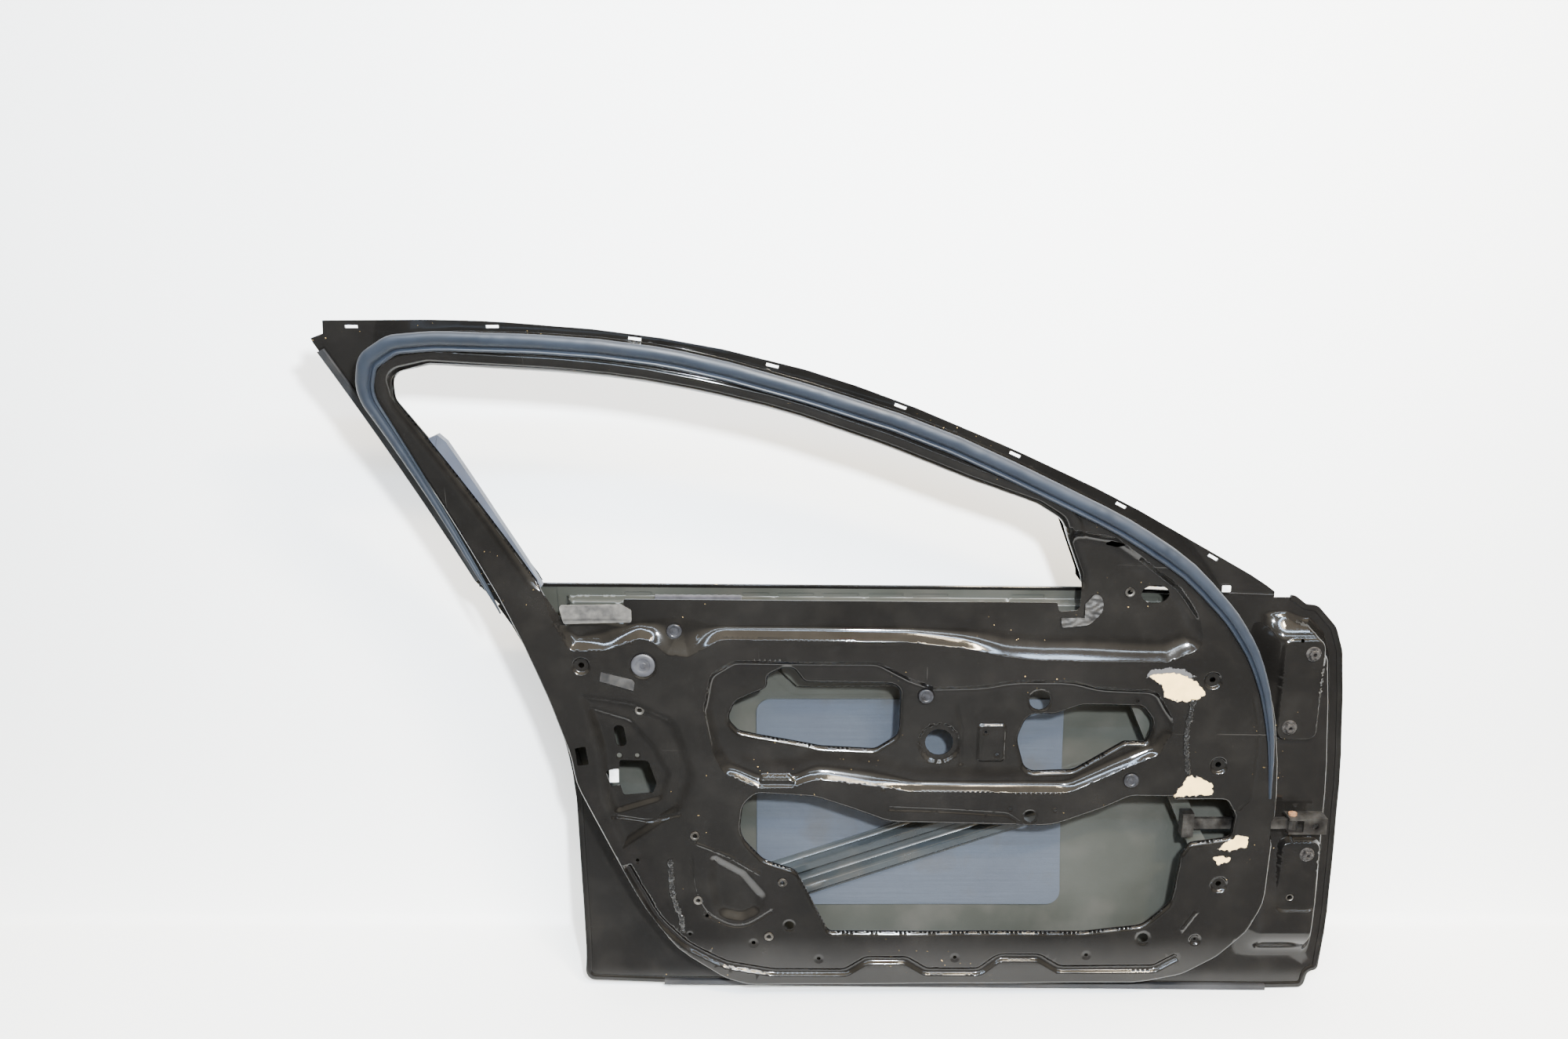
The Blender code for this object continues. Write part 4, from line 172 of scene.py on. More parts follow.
SILL_BEAD_SHARES = [
    (0.268, 0.221, 0), (0.297, 0.141, 0.1), (0.326, 0.098, 0.08), (0.366, 0.067, 0.08),
    (0.416, 0.054, 0.05), (0.492, 0.054, 0.02), (0.514, 0.074, 0.02), (0.555, 0.074, 0.02),
    (0.576, 0.055, 0.02), (0.632, 0.055, 0.02), (0.652, 0.078, 0.02), (0.694, 0.078, 0.02),
    (0.715, 0.059, 0.02), (0.815, 0.060, 0.02), (0.836, 0.078, 0)]

# Grooves and beads: path, half width and depth in millimetres (a negative depth is a bead)
GROOVES = [
    ([(0.954, 0.255, 0), (0.968, 0.155, 0)], 5, 2.0), ([(0.841, 0.125, 0), (0.853, 0.151, 0)], 5, -2.5),
    ([(0.535, 0.314, 0), (0.610, 0.309, 0.1), (0.654, 0.305, 0.02), (0.666, 0.293, 0)], 5, 1.6),
    ([(0.772, 0.672, 0), (0.811, 0.631, 0.1), (0.828, 0.596, 0)], 6, 2.2),
    ([(0.862, 0.626, 0), (0.878, 0.633, 0.01), (0.909, 0.598, 0)], 2.5, 1.5),
    ([(0.340, 0.259, 0), (0.372, 0.240, 0.02), (0.402, 0.213, 0)], 4, -1.5),
    ([(0.333, 0.239, 0), (0.334, 0.190, 0.1), (0.346, 0.149, 0.05), (0.381, 0.121, 0.05), (0.414, 0.152, 0)], 4, 1.6),
    ([(0.255, 0.300, 0), (0.290, 0.292, 0.03), (0.322, 0.305, 0)], 4, 1.5),
    ([(0.600, 0.462, 0), (0.606, 0.430, 0.02), (0.606, 0.378, 0)], 4, 1.2),
    ([(0.880, 0.300, 0), (0.900, 0.330, 0.02), (0.903, 0.420, 0.1), (0.893, 0.480, 0)], 4, 1.0),
    ([(0.917, 0.577, 0), (0.942, 0.556, 0.01), (0.948, 0.472, 0.2), (0.935, 0.438, 0)], 4, 2.0)]

# Round features of the panel: place, hole radius, dish radius and dish depth in millimetres
DISHED_HOLES = [
    ((0.228, 0.526), 4.0, 14, 4.0), ((0.851, 0.505), 4.0, 14, 4.0), ((0.864, 0.379), 4.0, 14, 4.0),
    ((0.875, 0.195), 4.0, 14, 4.0), ((0.584, 0.407), 19.5, 31, 4.0), ((0.683, 0.471), 14.5, 19, 1.5),
    ((0.677, 0.301), 8.5, 13, 1.5), ((0.433, 0.130), 6.5, 11, 1.2), ((0.801, 0.109), 7.5, 13, 1.5),
    ((0.262, 0.391), 3.5, 6, 0.6), ((0.280, 0.391), 3.0, 6, 0.6), ((0.855, 0.107), 2.0, 10, 3.0),
    ((0.289, 0.527), 12.5, 21, 1.6), ((0.320, 0.574), 6.5, 12, 0.8), ((0.569, 0.478), 6.5, 14, 1.2),
    ((0.777, 0.357), 6.5, 13, 1.2), ((0.780, 0.471), 2.6, 8, 1.0), ((0.630, 0.425), 2.2, 6, 0.8),
    ((0.642, 0.391), 2.2, 6, 0.8), ((0.657, 0.314), 2.5, 6, 0.6), ((0.702, 0.312), 2.5, 6, 0.6),
    ((0.278, 0.234), 2.5, 7, 0.8), ((0.348, 0.145), 2.5, 7, 0.8), ((0.330, 0.116), 2.2, 6, 0.6),
    ((0.396, 0.102), 2.8, 8, 0.8), ((0.464, 0.076), 2.6, 8, 0.8), ((0.606, 0.078), 2.6, 8, 0.8),
    ((0.743, 0.082), 2.6, 8, 0.8), ((0.926, 0.602), 0, 9, -2.5), ((0.949, 0.545), 2.5, 7, 0.8)]
RIVET_NUT_SHARES = [
    (0.284, 0.460), (0.765, 0.628), (0.426, 0.199), (0.412, 0.113), (0.339, 0.170), (0.337, 0.272)]

# Place, rim radius and stem radius in millimetres
PLUG_SHARES = {"access_plug": ((0.289, 0.527), 16.5, 12.0), "trim_grommet_rear": ((0.320, 0.574), 10.5, 6.0),
               "trim_grommet_middle": ((0.569, 0.478), 10.5, 6.0), "trim_grommet_front": ((0.777, 0.357), 10.5, 6.0)}

# In millimetres after the place: the mirror hole's half length and half height, the boss's length, height and
# corner, and each hinge pad's height, level and bolt places
MIRROR_HOLE = ((0.790, 0.625), 19, 13)
BOSS = ((0.636, 0.408), 43, 60, 8)
HINGE_PADS = [((0.9525, 0.471), 144, 47, [(0.961, 0.526), (0.944, 0.416)]),
              ((0.9675, 0.186), 104, 40, [(0.974, 0.221), (0.961, 0.151)])]
HINGE_PAD_WIDTH = 52
TRIM_SLOT_SHARES = [0.038, 0.165, 0.293, 0.418, 0.538, 0.650, 0.758, 0.856]
CHECK_EDGE = (0.9265, 0.279)

# Soft pieces and rails; a section is (across, up) in millimetres, and STRIP_SECTION in shares of a strip's size
SEAL_SHARES = [
    (0.1495, 0.600, 0), (0.144, 0.617, 0.3), (0.045, 0.910, 0.06), (0.055, 0.955, 0.03),
    (0.081, 0.978, 0.04), (0.120, 0.983, 0.3), (0.206, 0.979, 0.5), (0.289, 0.970, 0.6), (0.358, 0.951, 0.6),
    (0.450, 0.913, 0.7), (0.560, 0.861, 0.7), (0.646, 0.804, 0.8), (0.753, 0.729, 0.6), (0.820, 0.667, 0.3),
    (0.866, 0.598, 0.2), (0.890, 0.547, 0.2), (0.906, 0.490, 0.3), (0.917, 0.415, 0.4), (0.921, 0.330, 0)]
SEAL_SECTION = [
    (-7.5, 0), (-12.2, 1.4), (-13.0, 3.6), (-12.6, 6.0), (-11.4, 7.9), (-9.9, 8.4), (-8.5, 7.4), (-7.6, 5.2),
    (-6.6, 4.1), (-5.6, 4.6), (-4.9, 6.6), (-3.6, 8.9), (-1.4, 10.5), (1.6, 11.4), (4.8, 11.3), (8.0, 10.2),
    (10.8, 8.2), (12.5, 5.6), (13.0, 3.2), (11.0, 1.2), (7.5, 0)]
GLASS_RUN_SECTION = [
    (-12, 0), (-12, -13.2), (-11.2, -14), (-9.6, -13.4), (-8.9, -11), (-5.5, -5.6), (0, -4.2), (5.5, -5.6),
    (8.9, -11), (9.6, -13.4), (11.2, -14), (12, -13.2), (12, 0)]
STRIP_SECTION = [
    (-0.5, 0), (-0.5, 0.55), (-0.44, 0.85), (-0.36, 1.0), (0.36, 1.0), (0.44, 0.85), (0.5, 0.55), (0.5, 0)]
BEAM_SECTION = [
    (-32, 0), (-25.8, 0), (-24.2, 1.2), (-21.8, 14.2), (-20.2, 16), (-12, 16), (-10.2, 14.4), (-6.8, 3.6),
    (-4.6, 2.4), (4.6, 2.4), (6.8, 3.6), (10.2, 14.4), (12, 16), (20.2, 16), (21.8, 14.2), (24.2, 1.2),
    (25.8, 0), (32, 0)]
BEAM_ENDS = [(0.362, 0.1355), (0.905, 0.384)]
GLASS_RUN_ENDS = [(0.080, 0.902), (0.1834, 0.630)]
HEM_SECTION = [(-8.6, 0), (-1.2, 0), (-0.35, 0.35), (0, 1.2), (0, 3.2), (-0.35, 4.05), (-1.2, 4.4), (-7.6, 4.4),
               (-8.3, 4.1), (-8.5, 3.4), (-1.4, 3.4), (-1.0, 3.0), (-1.0, 1.4), (-1.4, 1.0), (-8.6, 1.0)]
BELT_ROLL_SECTION = [(1.4, 0.1), (-0.2, -0.3), (-1.2, 0.2), (-1.6, 1.4), (-1.3, 2.8), (-0.2, 3.6), (1.4, 3.4),
                     (3.6, 3.0), (3.8, 2.0), (1.6, 2.2), (0.4, 1.6), (1.4, 1.1)]
PAD_SHARES = [(0.399, 0.444, 0.02), (0.718, 0.444, 0.02), (0.722, 0.128, 0.02), (0.399, 0.128, 0.02)]
OUTER_RAIL_SHARES = [
    (0.200, 0.6185, 0), (0.727, 0.6125, 0), (0.858, 0.605, 0), (0.852, 0.520, 0.02), (0.760, 0.472, 0.05),
    (0.560, 0.453, 0.05), (0.436, 0.451, 0.02), (0.414, 0.482, 0.02), (0.395, 0.566, 0.02), (0.200, 0.568, 0.01)]
RAIL_SLOT_SHARES = [(0.267, 0.295), (0.385, 0.413), (0.421, 0.458), (0.466, 0.503), (0.512, 0.548),
                    (0.556, 0.593), (0.656, 0.690), (0.776, 0.806)]
REAR_FOAM_SHARES = [(0.208, 0.610, 0.003), (0.2685, 0.6115, 0.002), (0.2785, 0.603, 0.003), (0.2785, 0.586, 0.004),
                    (0.212, 0.584, 0.004)]
FRONT_TAPE_SHARES = [(0.722, 0.612, 0), (0.734, 0.632, 0.01), (0.742, 0.606, 0.02), (0.728, 0.582, 0.02),
                     (0.700, 0.578, 0.004), (0.699, 0.592, 0), (0.722, 0.592, 0)]
TAPE_STRIP_SHARES = [(0.2475, 0.518, 0), (0.281, 0.506, 0.006), (0.279, 0.491, 0), (0.246, 0.505, 0)]
SEALANT_SHARES = {"sealant_front": [(0.833, 0.478, 0), (0.828, 0.420, 0.1), (0.834, 0.366, 0)],
                  "sealant_rear": [(0.3115, 0.235, 0), (0.3125, 0.178, 0.1), (0.322, 0.142, 0.03), (0.3225, 0.120, 0)]}
HANDLE_DISH = ((0.292, 0.514), 55, 28, 14)

# Colours that no setting changes, as linear values
GRIME_COLOUR = (0.034, 0.029, 0.023, 1)
DUST_COLOUR = (0.17, 0.15, 0.125, 1)
SCRATCH_COLOUR = (0.32, 0.30, 0.27, 1)
CHIP_EDGE_COLOUR = (0.30, 0.28, 0.25, 1)
SCUFF_COLOUR = (0.055, 0.054, 0.055, 1)
OXIDE_COLOUR = (0.050, 0.057, 0.072, 1)
STAIN_COLOUR = (0.058, 0.050, 0.038, 1)
# Painted shade: the floor near the camera, out of its view, so that the paint's lower flats reflect shade
NEAR_FLOOR_SHADE_COLOUR = (0.060, 0.058, 0.055, 1)

# Where the black paint has come off, as outlines
CHIP_SHARES = [
    [(0.7878, 0.5115, 0), (0.8, 0.5149, 0), (0.817, 0.5149, 0), (0.8354, 0.5035, 0), (0.8442, 0.4852, 0),
     (0.8346, 0.476, 0), (0.8191, 0.4748, 0), (0.8056, 0.4806, 0), (0.8009, 0.4978, 0)],
    [(0.8331, 0.3625, 0), (0.845, 0.3614, 0), (0.8606, 0.3506, 0), (0.8606, 0.3363, 0), (0.8465, 0.3351, 0),
     (0.8253, 0.3315, 0), (0.8205, 0.3327, 0), (0.8284, 0.3471, 0)],
    [(0.8914, 0.2736, 0), (0.8997, 0.2687, 0), (0.8999, 0.2541, 0), (0.8834, 0.2492, 0), (0.8697, 0.2504, 0),
     (0.8786, 0.2614, 0)],
    [(0.8664, 0.2381, 0), (0.8718, 0.2418, 0), (0.8849, 0.2369, 0), (0.8797, 0.2295, 0), (0.8727, 0.227, 0)]]
SCUFF_SHARES = [(0.783, 0.512, 0), (0.789, 0.521, 0), (0.806, 0.5245, 0), (0.822, 0.5215, 0), (0.834, 0.511, 0),
                (0.829, 0.506, 0), (0.817, 0.5135, 0), (0.800, 0.5135, 0), (0.788, 0.510, 0)]

# The white clips: name, place, length and height in millimetres, and metres inboard of the panel
CLIPS = [("latch_clip", (0.2555, 0.357), 13, 20, -0.006), ("edge_clip", (0.871, 0.6165), 12, 9, 0.0036)]

# Stage: the floor's gap under the door and the wall's place in metres, the camera, and the lamps as
# (name, place, aim, size in metres, power in watts, colour)
FLOOR_GAP = 0.0006
WALL_Y = 0.175
COVE_RADIUS = 0.02
CAMERA_PLACE = (-0.7253, -1.7956, 0.730)
CAMERA_TILT = 75
CAMERA_LENS, SENSOR_WIDTH = 31.5, 36.0
WARM_LAMP = (1.0, 0.84, 0.60)
LAMPS = [
    ("front_bank", (-0.7, -2.1, 1.86), (-0.7, 0.0, 0.1), (4.6, 0.10), 190, (0.55, 0.74, 1.0)),
    ("low_bank", (-0.2, -2.9, 1.50), (-0.5, 0.0, 0.1), (3.4, 0.07), 55, (0.66, 0.82, 1.0)),
    ("ceiling", (-0.7, -1.3, 3.3), (-0.7, -0.2, 0.3), (6.4, 4.0), 150, (1.0, 0.80, 0.54)),
    ("key", (-0.45, -1.9, 1.06), (-0.7, 0.0, 0.3), (0.10, 0.10), 220, (0.88, 0.945, 1.0)),
    ("lamp_rear", (-0.10, -1.75, 1.95), (-0.3, 0.0, 0.1), (0.07, 0.42), 300 * 0.07, WARM_LAMP),
    ("lamp_middle", (0.05, -1.75, 1.95), (-0.3, 0.0, 0.1), (0.07, 0.42), 300 * 0.07, WARM_LAMP),
    ("lamp_front", (0.45, -1.75, 1.95), (-0.3, 0.0, 0.1), (0.34, 0.12), 300 * 0.34, WARM_LAMP)]


def place(share):
    """Drawing place of a pair of shares."""
    return np.array([(share[0] - CENTRE_SHARE) * DOOR_LENGTH, share[1]])


def length_share(points):
    """Share of the door's length at each point."""
    return points[:, 0] / DOOR_LENGTH + CENTRE_SHARE


def skin_y(z):
    """Outer face of the skin: a parabola about the crown, y = 0.085 - (z - 0.38)^2 / 3.08."""
    return 0.085 - (z - 0.38) ** 2 / 3.08


def lean_y(z):
    """Main face of the inner panel: flat to z = 0.6, then y = -(z - 0.6)^2 / 1.828."""
    return -np.maximum(0, z - 0.60) ** 2 / 1.828


def flange_y(z):
    """Face of the panel's flange, which lies 1.5 mm inside the skin's outer face."""
    return skin_y(z) - 1.5 * MILLIMETRE


def ease(value, low, high):
    """0 below low, 1 above high, and 3t^2 - 2t^3 between."""
    t = np.clip((value - low) / (high - low), 0, 1)
    return t * t * (3 - 2 * t)


def quarter_round(turn):
    """Rise of a quarter circle of radius 1 while turn goes from 0 to 1: 1 - sqrt(1 - turn^2)."""
    return 1 - np.sqrt(np.maximum(1 - turn ** 2, 0))


def rounded(shares, closed=True, turn_step=0.2):
    """Points of a table of shares, each corner turned by an arc of its radius in steps of turn_step radians."""
    corners = [Vector(place(row)) for row in shares]
    points = []
    for i, corner in enumerate(corners):
        if shares[i][2] == 0 or not closed and i in (0, len(corners) - 1):
            points.append(tuple(corner))
            continue
        back = corners[i - 1] - corner
        ahead = corners[(i + 1) % len(corners)] - corner
        turn = math.pi - back.angle(ahead)
        reach = min(shares[i][2] * math.tan(turn / 2), min(back.length, ahead.length) * 0.48)
        radius = reach / math.tan(turn / 2)
        middle = corner + (back.normalized() + ahead.normalized()).normalized() * (radius / math.cos(turn / 2))
        first = corner + back.normalized() * reach - middle
        swing = first.angle_signed(corner + ahead.normalized() * reach - middle)
        start = math.atan2(first.y, first.x)
        angles = start - swing * np.linspace(0, 1, max(2, math.ceil(turn / turn_step) + 1))
        points += [(middle.x + radius * math.cos(a), middle.y + radius * math.sin(a)) for a in angles]
    return np.array(points)


def resample(path, step, closed=True):
    """The same path with its sides split evenly, no side longer than step."""
    ahead = np.roll(path, -1, axis=0) if closed else path[1:]
    here = path if closed else path[:-1]
    parts = np.maximum(1, np.ceil(np.linalg.norm(ahead - here, axis=1) / step).astype(int))
    index = np.repeat(np.arange(len(here)), parts)
    first = np.repeat(np.cumsum(parts) - parts, parts)
    share = (np.arange(len(index)) - first) / parts[index]
    points = here[index] + (ahead - here)[index] * share[:, None]
    return points if closed else np.vstack([points, path[-1:]])


def ellipse(centre, half_length, half_height, segments=28):
    """Points of an ellipse round a place."""
    angle = np.arange(segments) * (2 * math.pi / segments)
    return np.stack([centre[0] + half_length * np.cos(angle), centre[1] + half_height * np.sin(angle)], axis=1)


def circle(share, radius, segments):
    """Points of a circle round the place of a pair of shares."""
    return ellipse(place(share), radius, radius, segments)


def straight(ends, count):
    """Evenly spaced points from one pair of shares to another."""
    first, last = place(ends[0]), place(ends[1])
    return first + (last - first) * np.linspace(0, 1, count)[:, None]


def travelled(path):
    """Distance along an open path from its start to each of its points."""
    return np.concatenate([[0], np.cumsum(np.linalg.norm(np.diff(path, axis=0), axis=1))])


def box_loop(centre, length, height, corner):
    """A rectangle with rounded corners round a drawing place."""
    signs = np.array([(-1, -1), (1, -1), (1, 1), (-1, 1)])
    corners = np.array(centre) + signs * np.array([length, height]) / 2
    return rounded([(x / DOOR_LENGTH + CENTRE_SHARE, z, corner) for x, z in corners.tolist()])


def turned_way(loop):
    """1 for a loop that runs anticlockwise, -1 for a clockwise one."""
    ahead = np.roll(loop, -1, axis=0)
    return 1 if np.sum(loop[:, 0] * ahead[:, 1] - ahead[:, 0] * loop[:, 1]) > 0 else -1


def side_normals(path, closed=True):
    """Unit normals to the left of a path, from the chord of each point's neighbours."""
    if closed:
        chord = np.roll(path, -1, axis=0) - np.roll(path, 1, axis=0)
    else:
        chord = np.gradient(path, axis=0)
    chord = chord / np.maximum(np.linalg.norm(chord, axis=1, keepdims=True), 1e-9)
    return np.stack([-chord[:, 1], chord[:, 0]], axis=1)


def inset(loop, distance, closed=True):
    """A loop moved inwards by a distance, or a path moved to its left."""
    side = turned_way(loop) if closed else 1
    return loop + side * distance * side_normals(loop, closed)


def near(points, path, closed, reach):
    """Signed distance from each point to a path: positive inside a closed one, and FAR_OFF beyond reach."""
    low, high = path.min(axis=0) - reach, path.max(axis=0) + reach
    close = np.flatnonzero(np.all((points > low) & (points < high), axis=1))
    result = np.full(len(points), -FAR_OFF if closed else FAR_OFF)
    if len(close) == 0:
        return result
    spots = points[close]
    square = np.full(len(close), FAR_OFF ** 2)
    odd = np.zeros(len(close), dtype=bool)
    ends = np.roll(path, -1, axis=0) if closed else path[1:]
    for start, end in zip(path, ends):
        run = end - start
        arm = spots - start
        share = np.clip(arm @ run / max(run @ run, 1e-14), 0, 1)
        square = np.minimum(square, np.sum((arm - share[:, None] * run) ** 2, axis=1))
        if closed and run[1] != 0:
            spans = (start[1] > spots[:, 1]) != (end[1] > spots[:, 1])
            odd ^= spans & (arm[:, 0] < arm[:, 1] * run[0] / run[1])
    distance = np.sqrt(square)
    result[close] = np.where(odd, distance, -distance) if closed else distance
    return result


def band(points, foot, top, reach=0.1):
    """0 outside the foot outline and 1 inside the top one.

    Between them it is ease(t^0.6) of the share t of the way: a tight fold at the foot, then a long hollow.
    """
    inside = near(points, foot, True, reach)
    beyond = -near(points, top, True, reach)
    share = np.clip(inside / np.maximum(np.abs(inside) + np.maximum(beyond, 0), 1e-9), 0, 1)
    return ease(np.where(beyond <= 0, 1.0, share) ** 0.6, 0, 1)


def outlines():
    """Every outline that the pressing is made from, worked out once.

    Lips are (outline, width, depth), bands (foot, top, depth), steps (outline, depth, flank), grooves
    (path, half width, depth) and pads (outline, level).
    """
    hem = rounded(HEM_SHARES, closed=False)
    edge = rounded(FRAME_EDGE_SHARES, closed=False)
    belt = rounded(BELT_SHARES, closed=False)
    made = {"hem": hem, "edge": edge, "skin": np.vstack([hem, belt])}
    made["plateau"] = rounded(PLATEAU_SHARES)
    made["window"] = rounded(WINDOW_SHARES)
    made["lips"] = [(made["window"], 0.015, 0.013)]
    made["lips"] += [(rounded(table), LIP_WIDTH, LIP_DEPTH)
                     for table in (OPENING_A_SHARES, OPENING_B_SHARES, OPENING_C_SHARES)]
    made["bands"] = [(rounded(UPPER_FOOT_SHARES), rounded(UPPER_TOP_SHARES), 0.012),
                     (rounded(CENTRE_FOOT_SHARES), rounded(CENTRE_TOP_SHARES), 0.010)]
    boss = box_loop(place(BOSS[0]), *[size * MILLIMETRE for size in BOSS[1:]])
    made["steps"] = [(rounded(LATCH_OUTER_SHARES), 0.005, 0.017), (rounded(LATCH_INNER_SHARES), 0.0035, 0.011),
                     (rounded(SPEAKER_SHARES), 0.0070, 0.019), (rounded(FACET_SHARES), -0.003, 0.006),
                     (boss, -0.003, 0.006)]
    made["bead"] = rounded(SILL_BEAD_SHARES, closed=False)
    made["grooves"] = [(rounded(path, closed=False), half * MILLIMETRE, deep * MILLIMETRE)
                       for path, half, deep in GROOVES]
    made["chips"] = [rounded(path) for path in CHIP_SHARES]
    made["pads"] = [(box_loop(place(spot), HINGE_PAD_WIDTH * MILLIMETRE, tall * MILLIMETRE, 0.010), level * MILLIMETRE)
                    for spot, tall, level, _ in HINGE_PADS]
    return made


SHAPE = outlines()


def shelf_share(points):
    """1 on the front shelf that carries the hinges, and 0 away from it."""
    level = points[:, 1]
    return ease(length_share(points), 0.900, 0.934) * ease(level, 0.050, 0.100) * (1 - ease(level, 0.540, 0.590))


def panel_height(points):
    """Outboard face of the inner panel.

    The plateau's height is the sum of its flanks, steps, dishes, grooves and quarter-round lips, with a shallow
    channel along the window's head and a faint wave, a product of two sines. Past the plateau's edge a rounded
    wall drops to the flange on the skin, with the front shelf and hinge pads on it.
    """
    z = points[:, 1]
    face = lean_y(z)
    for foot, top, depth in SHAPE["bands"]:
        face = face + depth * band(points, foot, top)
    for loop, depth, flank in SHAPE["steps"]:
        face = face + depth * ease(near(points, loop, True, 0.02), 0, flank)
    face = face + 0.005 * (1 - ease(near(points, SHAPE["bead"], False, 0.02), 0.0015, 0.008))
    for path, half, depth in SHAPE["grooves"]:
        face = face + depth * (1 - ease(near(points, path, False, 0.02), 0, half))
    for share, hole, dish, depth in DISHED_HOLES:
        away = np.linalg.norm(points - place(share), axis=1)
        face = face + depth * MILLIMETRE * (1 - ease(away, max(dish - 5.5, hole) * MILLIMETRE, dish * MILLIMETRE))
    for loop, width, depth in SHAPE["lips"]:
        turn = np.clip(1 - np.abs(near(points, loop, True, 0.02)) / width, 0, 1)
        flat_belt = 1 - ease(z, 0.585, 0.592) * (1 - ease(z, 0.628, 0.652))
        face = face + flat_belt * depth * quarter_round(turn)
    face = face + 0.0030 * ease(near(points, SHAPE["bands"][1][1], True, 0.06), -0.004, 0.026)
    head = ease(z + 0.3 * length_share(points), 0.90, 0.97)
    ring = -near(points, SHAPE["window"], True, 0.04)
    face = face - 0.0032 * head * ease(ring, 0.024, 0.019) * ease(ring, 0.0, 0.010)
    face = face + 0.00045 * np.sin(points[:, 0] * 31 + 2 * np.sin(z * 17)) * np.sin(z * 29 + 1.3)
    edge_depth = np.abs(near(points, SHAPE["skin"], True, 0.06))
    lift = 0.026 * shelf_share(points) * ease(edge_depth, 0.018, 0.032)
    flange = flange_y(z) - lift
    for loop, level in SHAPE["pads"]:
        share = ease(near(points, loop, True, 0.02), -0.006, 0)
        flange = flange * (1 - share) + level * share
    outside = -near(points, SHAPE["plateau"], True, 0.3)
    fillet = 0.0045
    turn = np.clip((outside + fillet) / fillet, 0, 1)
    wall = ease(outside, 0, 0.006)
    return (face + fillet * quarter_round(turn)) * (1 - wall) + flange * wall


def skin_height(points):
    """Outer face of the skin: the barrel, less the finger dish behind the outer handle."""
    centre, half_length, half_height, deep = HANDLE_DISH
    arm = (points - place(centre)) / np.array([half_length, half_height]) / MILLIMETRE
    return skin_y(points[:, 1]) - deep * MILLIMETRE * (1 - ease(np.linalg.norm(arm, axis=1), 0.52, 1.0))


def lattice(outline, step):
    """A square lattice of points over an outline's box, each row shifted by half a step."""
    low, high = outline.min(axis=0), outline.max(axis=0)
    x, z = np.meshgrid(np.arange(low[0], high[0], step), np.arange(low[1], high[1], step))
    x = x + (np.arange(len(x))[:, None] % 2) * step / 2
    return np.stack([x.ravel(), z.ravel()], axis=1)


def ribbons(path, offsets, step, closed=True):
    """Points along a path at each of several offsets to its side."""
    dense = resample(path, step, closed)
    normal = side_normals(dense, closed) * (turned_way(path) if closed else 1)
    return np.vstack([dense + normal * offset for offset in offsets])


def triangulate(outline, holes, points):
    """Triangles of the area inside the outline and outside the holes, with corners at all the points."""
    clear = near(points, outline, True, 0.01) > 0.0008
    for hole in holes:
        clear &= near(points, hole, True, 0.01) < -0.0008
    points = points[clear]
    places, edges = [], []
    for loop in (outline, *holes):
        first = len(places)
        places += [tuple(spot) for spot in loop.tolist()]
        edges += [(first + i, first + (i + 1) % len(loop)) for i in range(len(loop))]
    places = [Vector(spot) for spot in places + [tuple(spot) for spot in points.tolist()]]
    spots, _, faces, _, _, _ = delaunay_2d_cdt(places, edges, [], 0, 1e-6)
    spots = np.array([tuple(spot) for spot in spots])
    faces = np.array([face for face in faces if len(face) == 3])
    middles = spots[faces].mean(axis=1)
    keep = near(middles, outline, True, 0.01) > 0
    for hole in holes:
        keep &= near(middles, hole, True, 0.001) < 0
    faces = faces[keep]
    used, faces = np.unique(faces, return_inverse=True)
    return spots[used], faces.reshape(-1, 3)


def add_mesh(name, vertices, polygons, looks, normals=None, look_index=None):
    """Adds an object from arrays.

    The vertices are in the drawing frame, polygons is a list of arrays of equal-sided polygons, normals holds one
    row for each corner of each polygon, and look_index one look for each polygon.
    """
    mesh = bpy.data.meshes.new(name)
    corners = np.concatenate([block.ravel() for block in polygons])
    sizes = np.concatenate([np.full(len(block), block.shape[1]) for block in polygons])
    mesh.vertices.add(len(vertices))
    mesh.vertices.foreach_set("co", (vertices + DRAWING_ORIGIN).astype(np.float32).ravel())
    mesh.loops.add(len(corners))
    mesh.loops.foreach_set("vertex_index", corners.astype(np.int32))
    mesh.polygons.add(len(sizes))
    mesh.polygons.foreach_set("loop_start", (np.cumsum(sizes) - sizes).astype(np.int32))
    for look in looks:
        mesh.materials.append(look)
    if look_index is not None:
        mesh.polygons.foreach_set("material_index", look_index.astype(np.int32))
    mesh.update(calc_edges=True)
    mesh.shade_smooth()
    if normals is None:
        mesh.set_sharp_from_angle(angle=math.radians(38))
    else:
        mesh.normals_split_custom_set(normals.tolist())
    piece = bpy.data.objects.new(name, mesh)
    bpy.context.scene.collection.objects.link(piece)
    return piece


def settle(piece, body, slot, *nodes):
    """Makes a piece ride on a body and stand for CAD nodes, which it hides; the slot is not used."""
    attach(piece, body)
    if nodes:
        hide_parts(*nodes)
    return piece


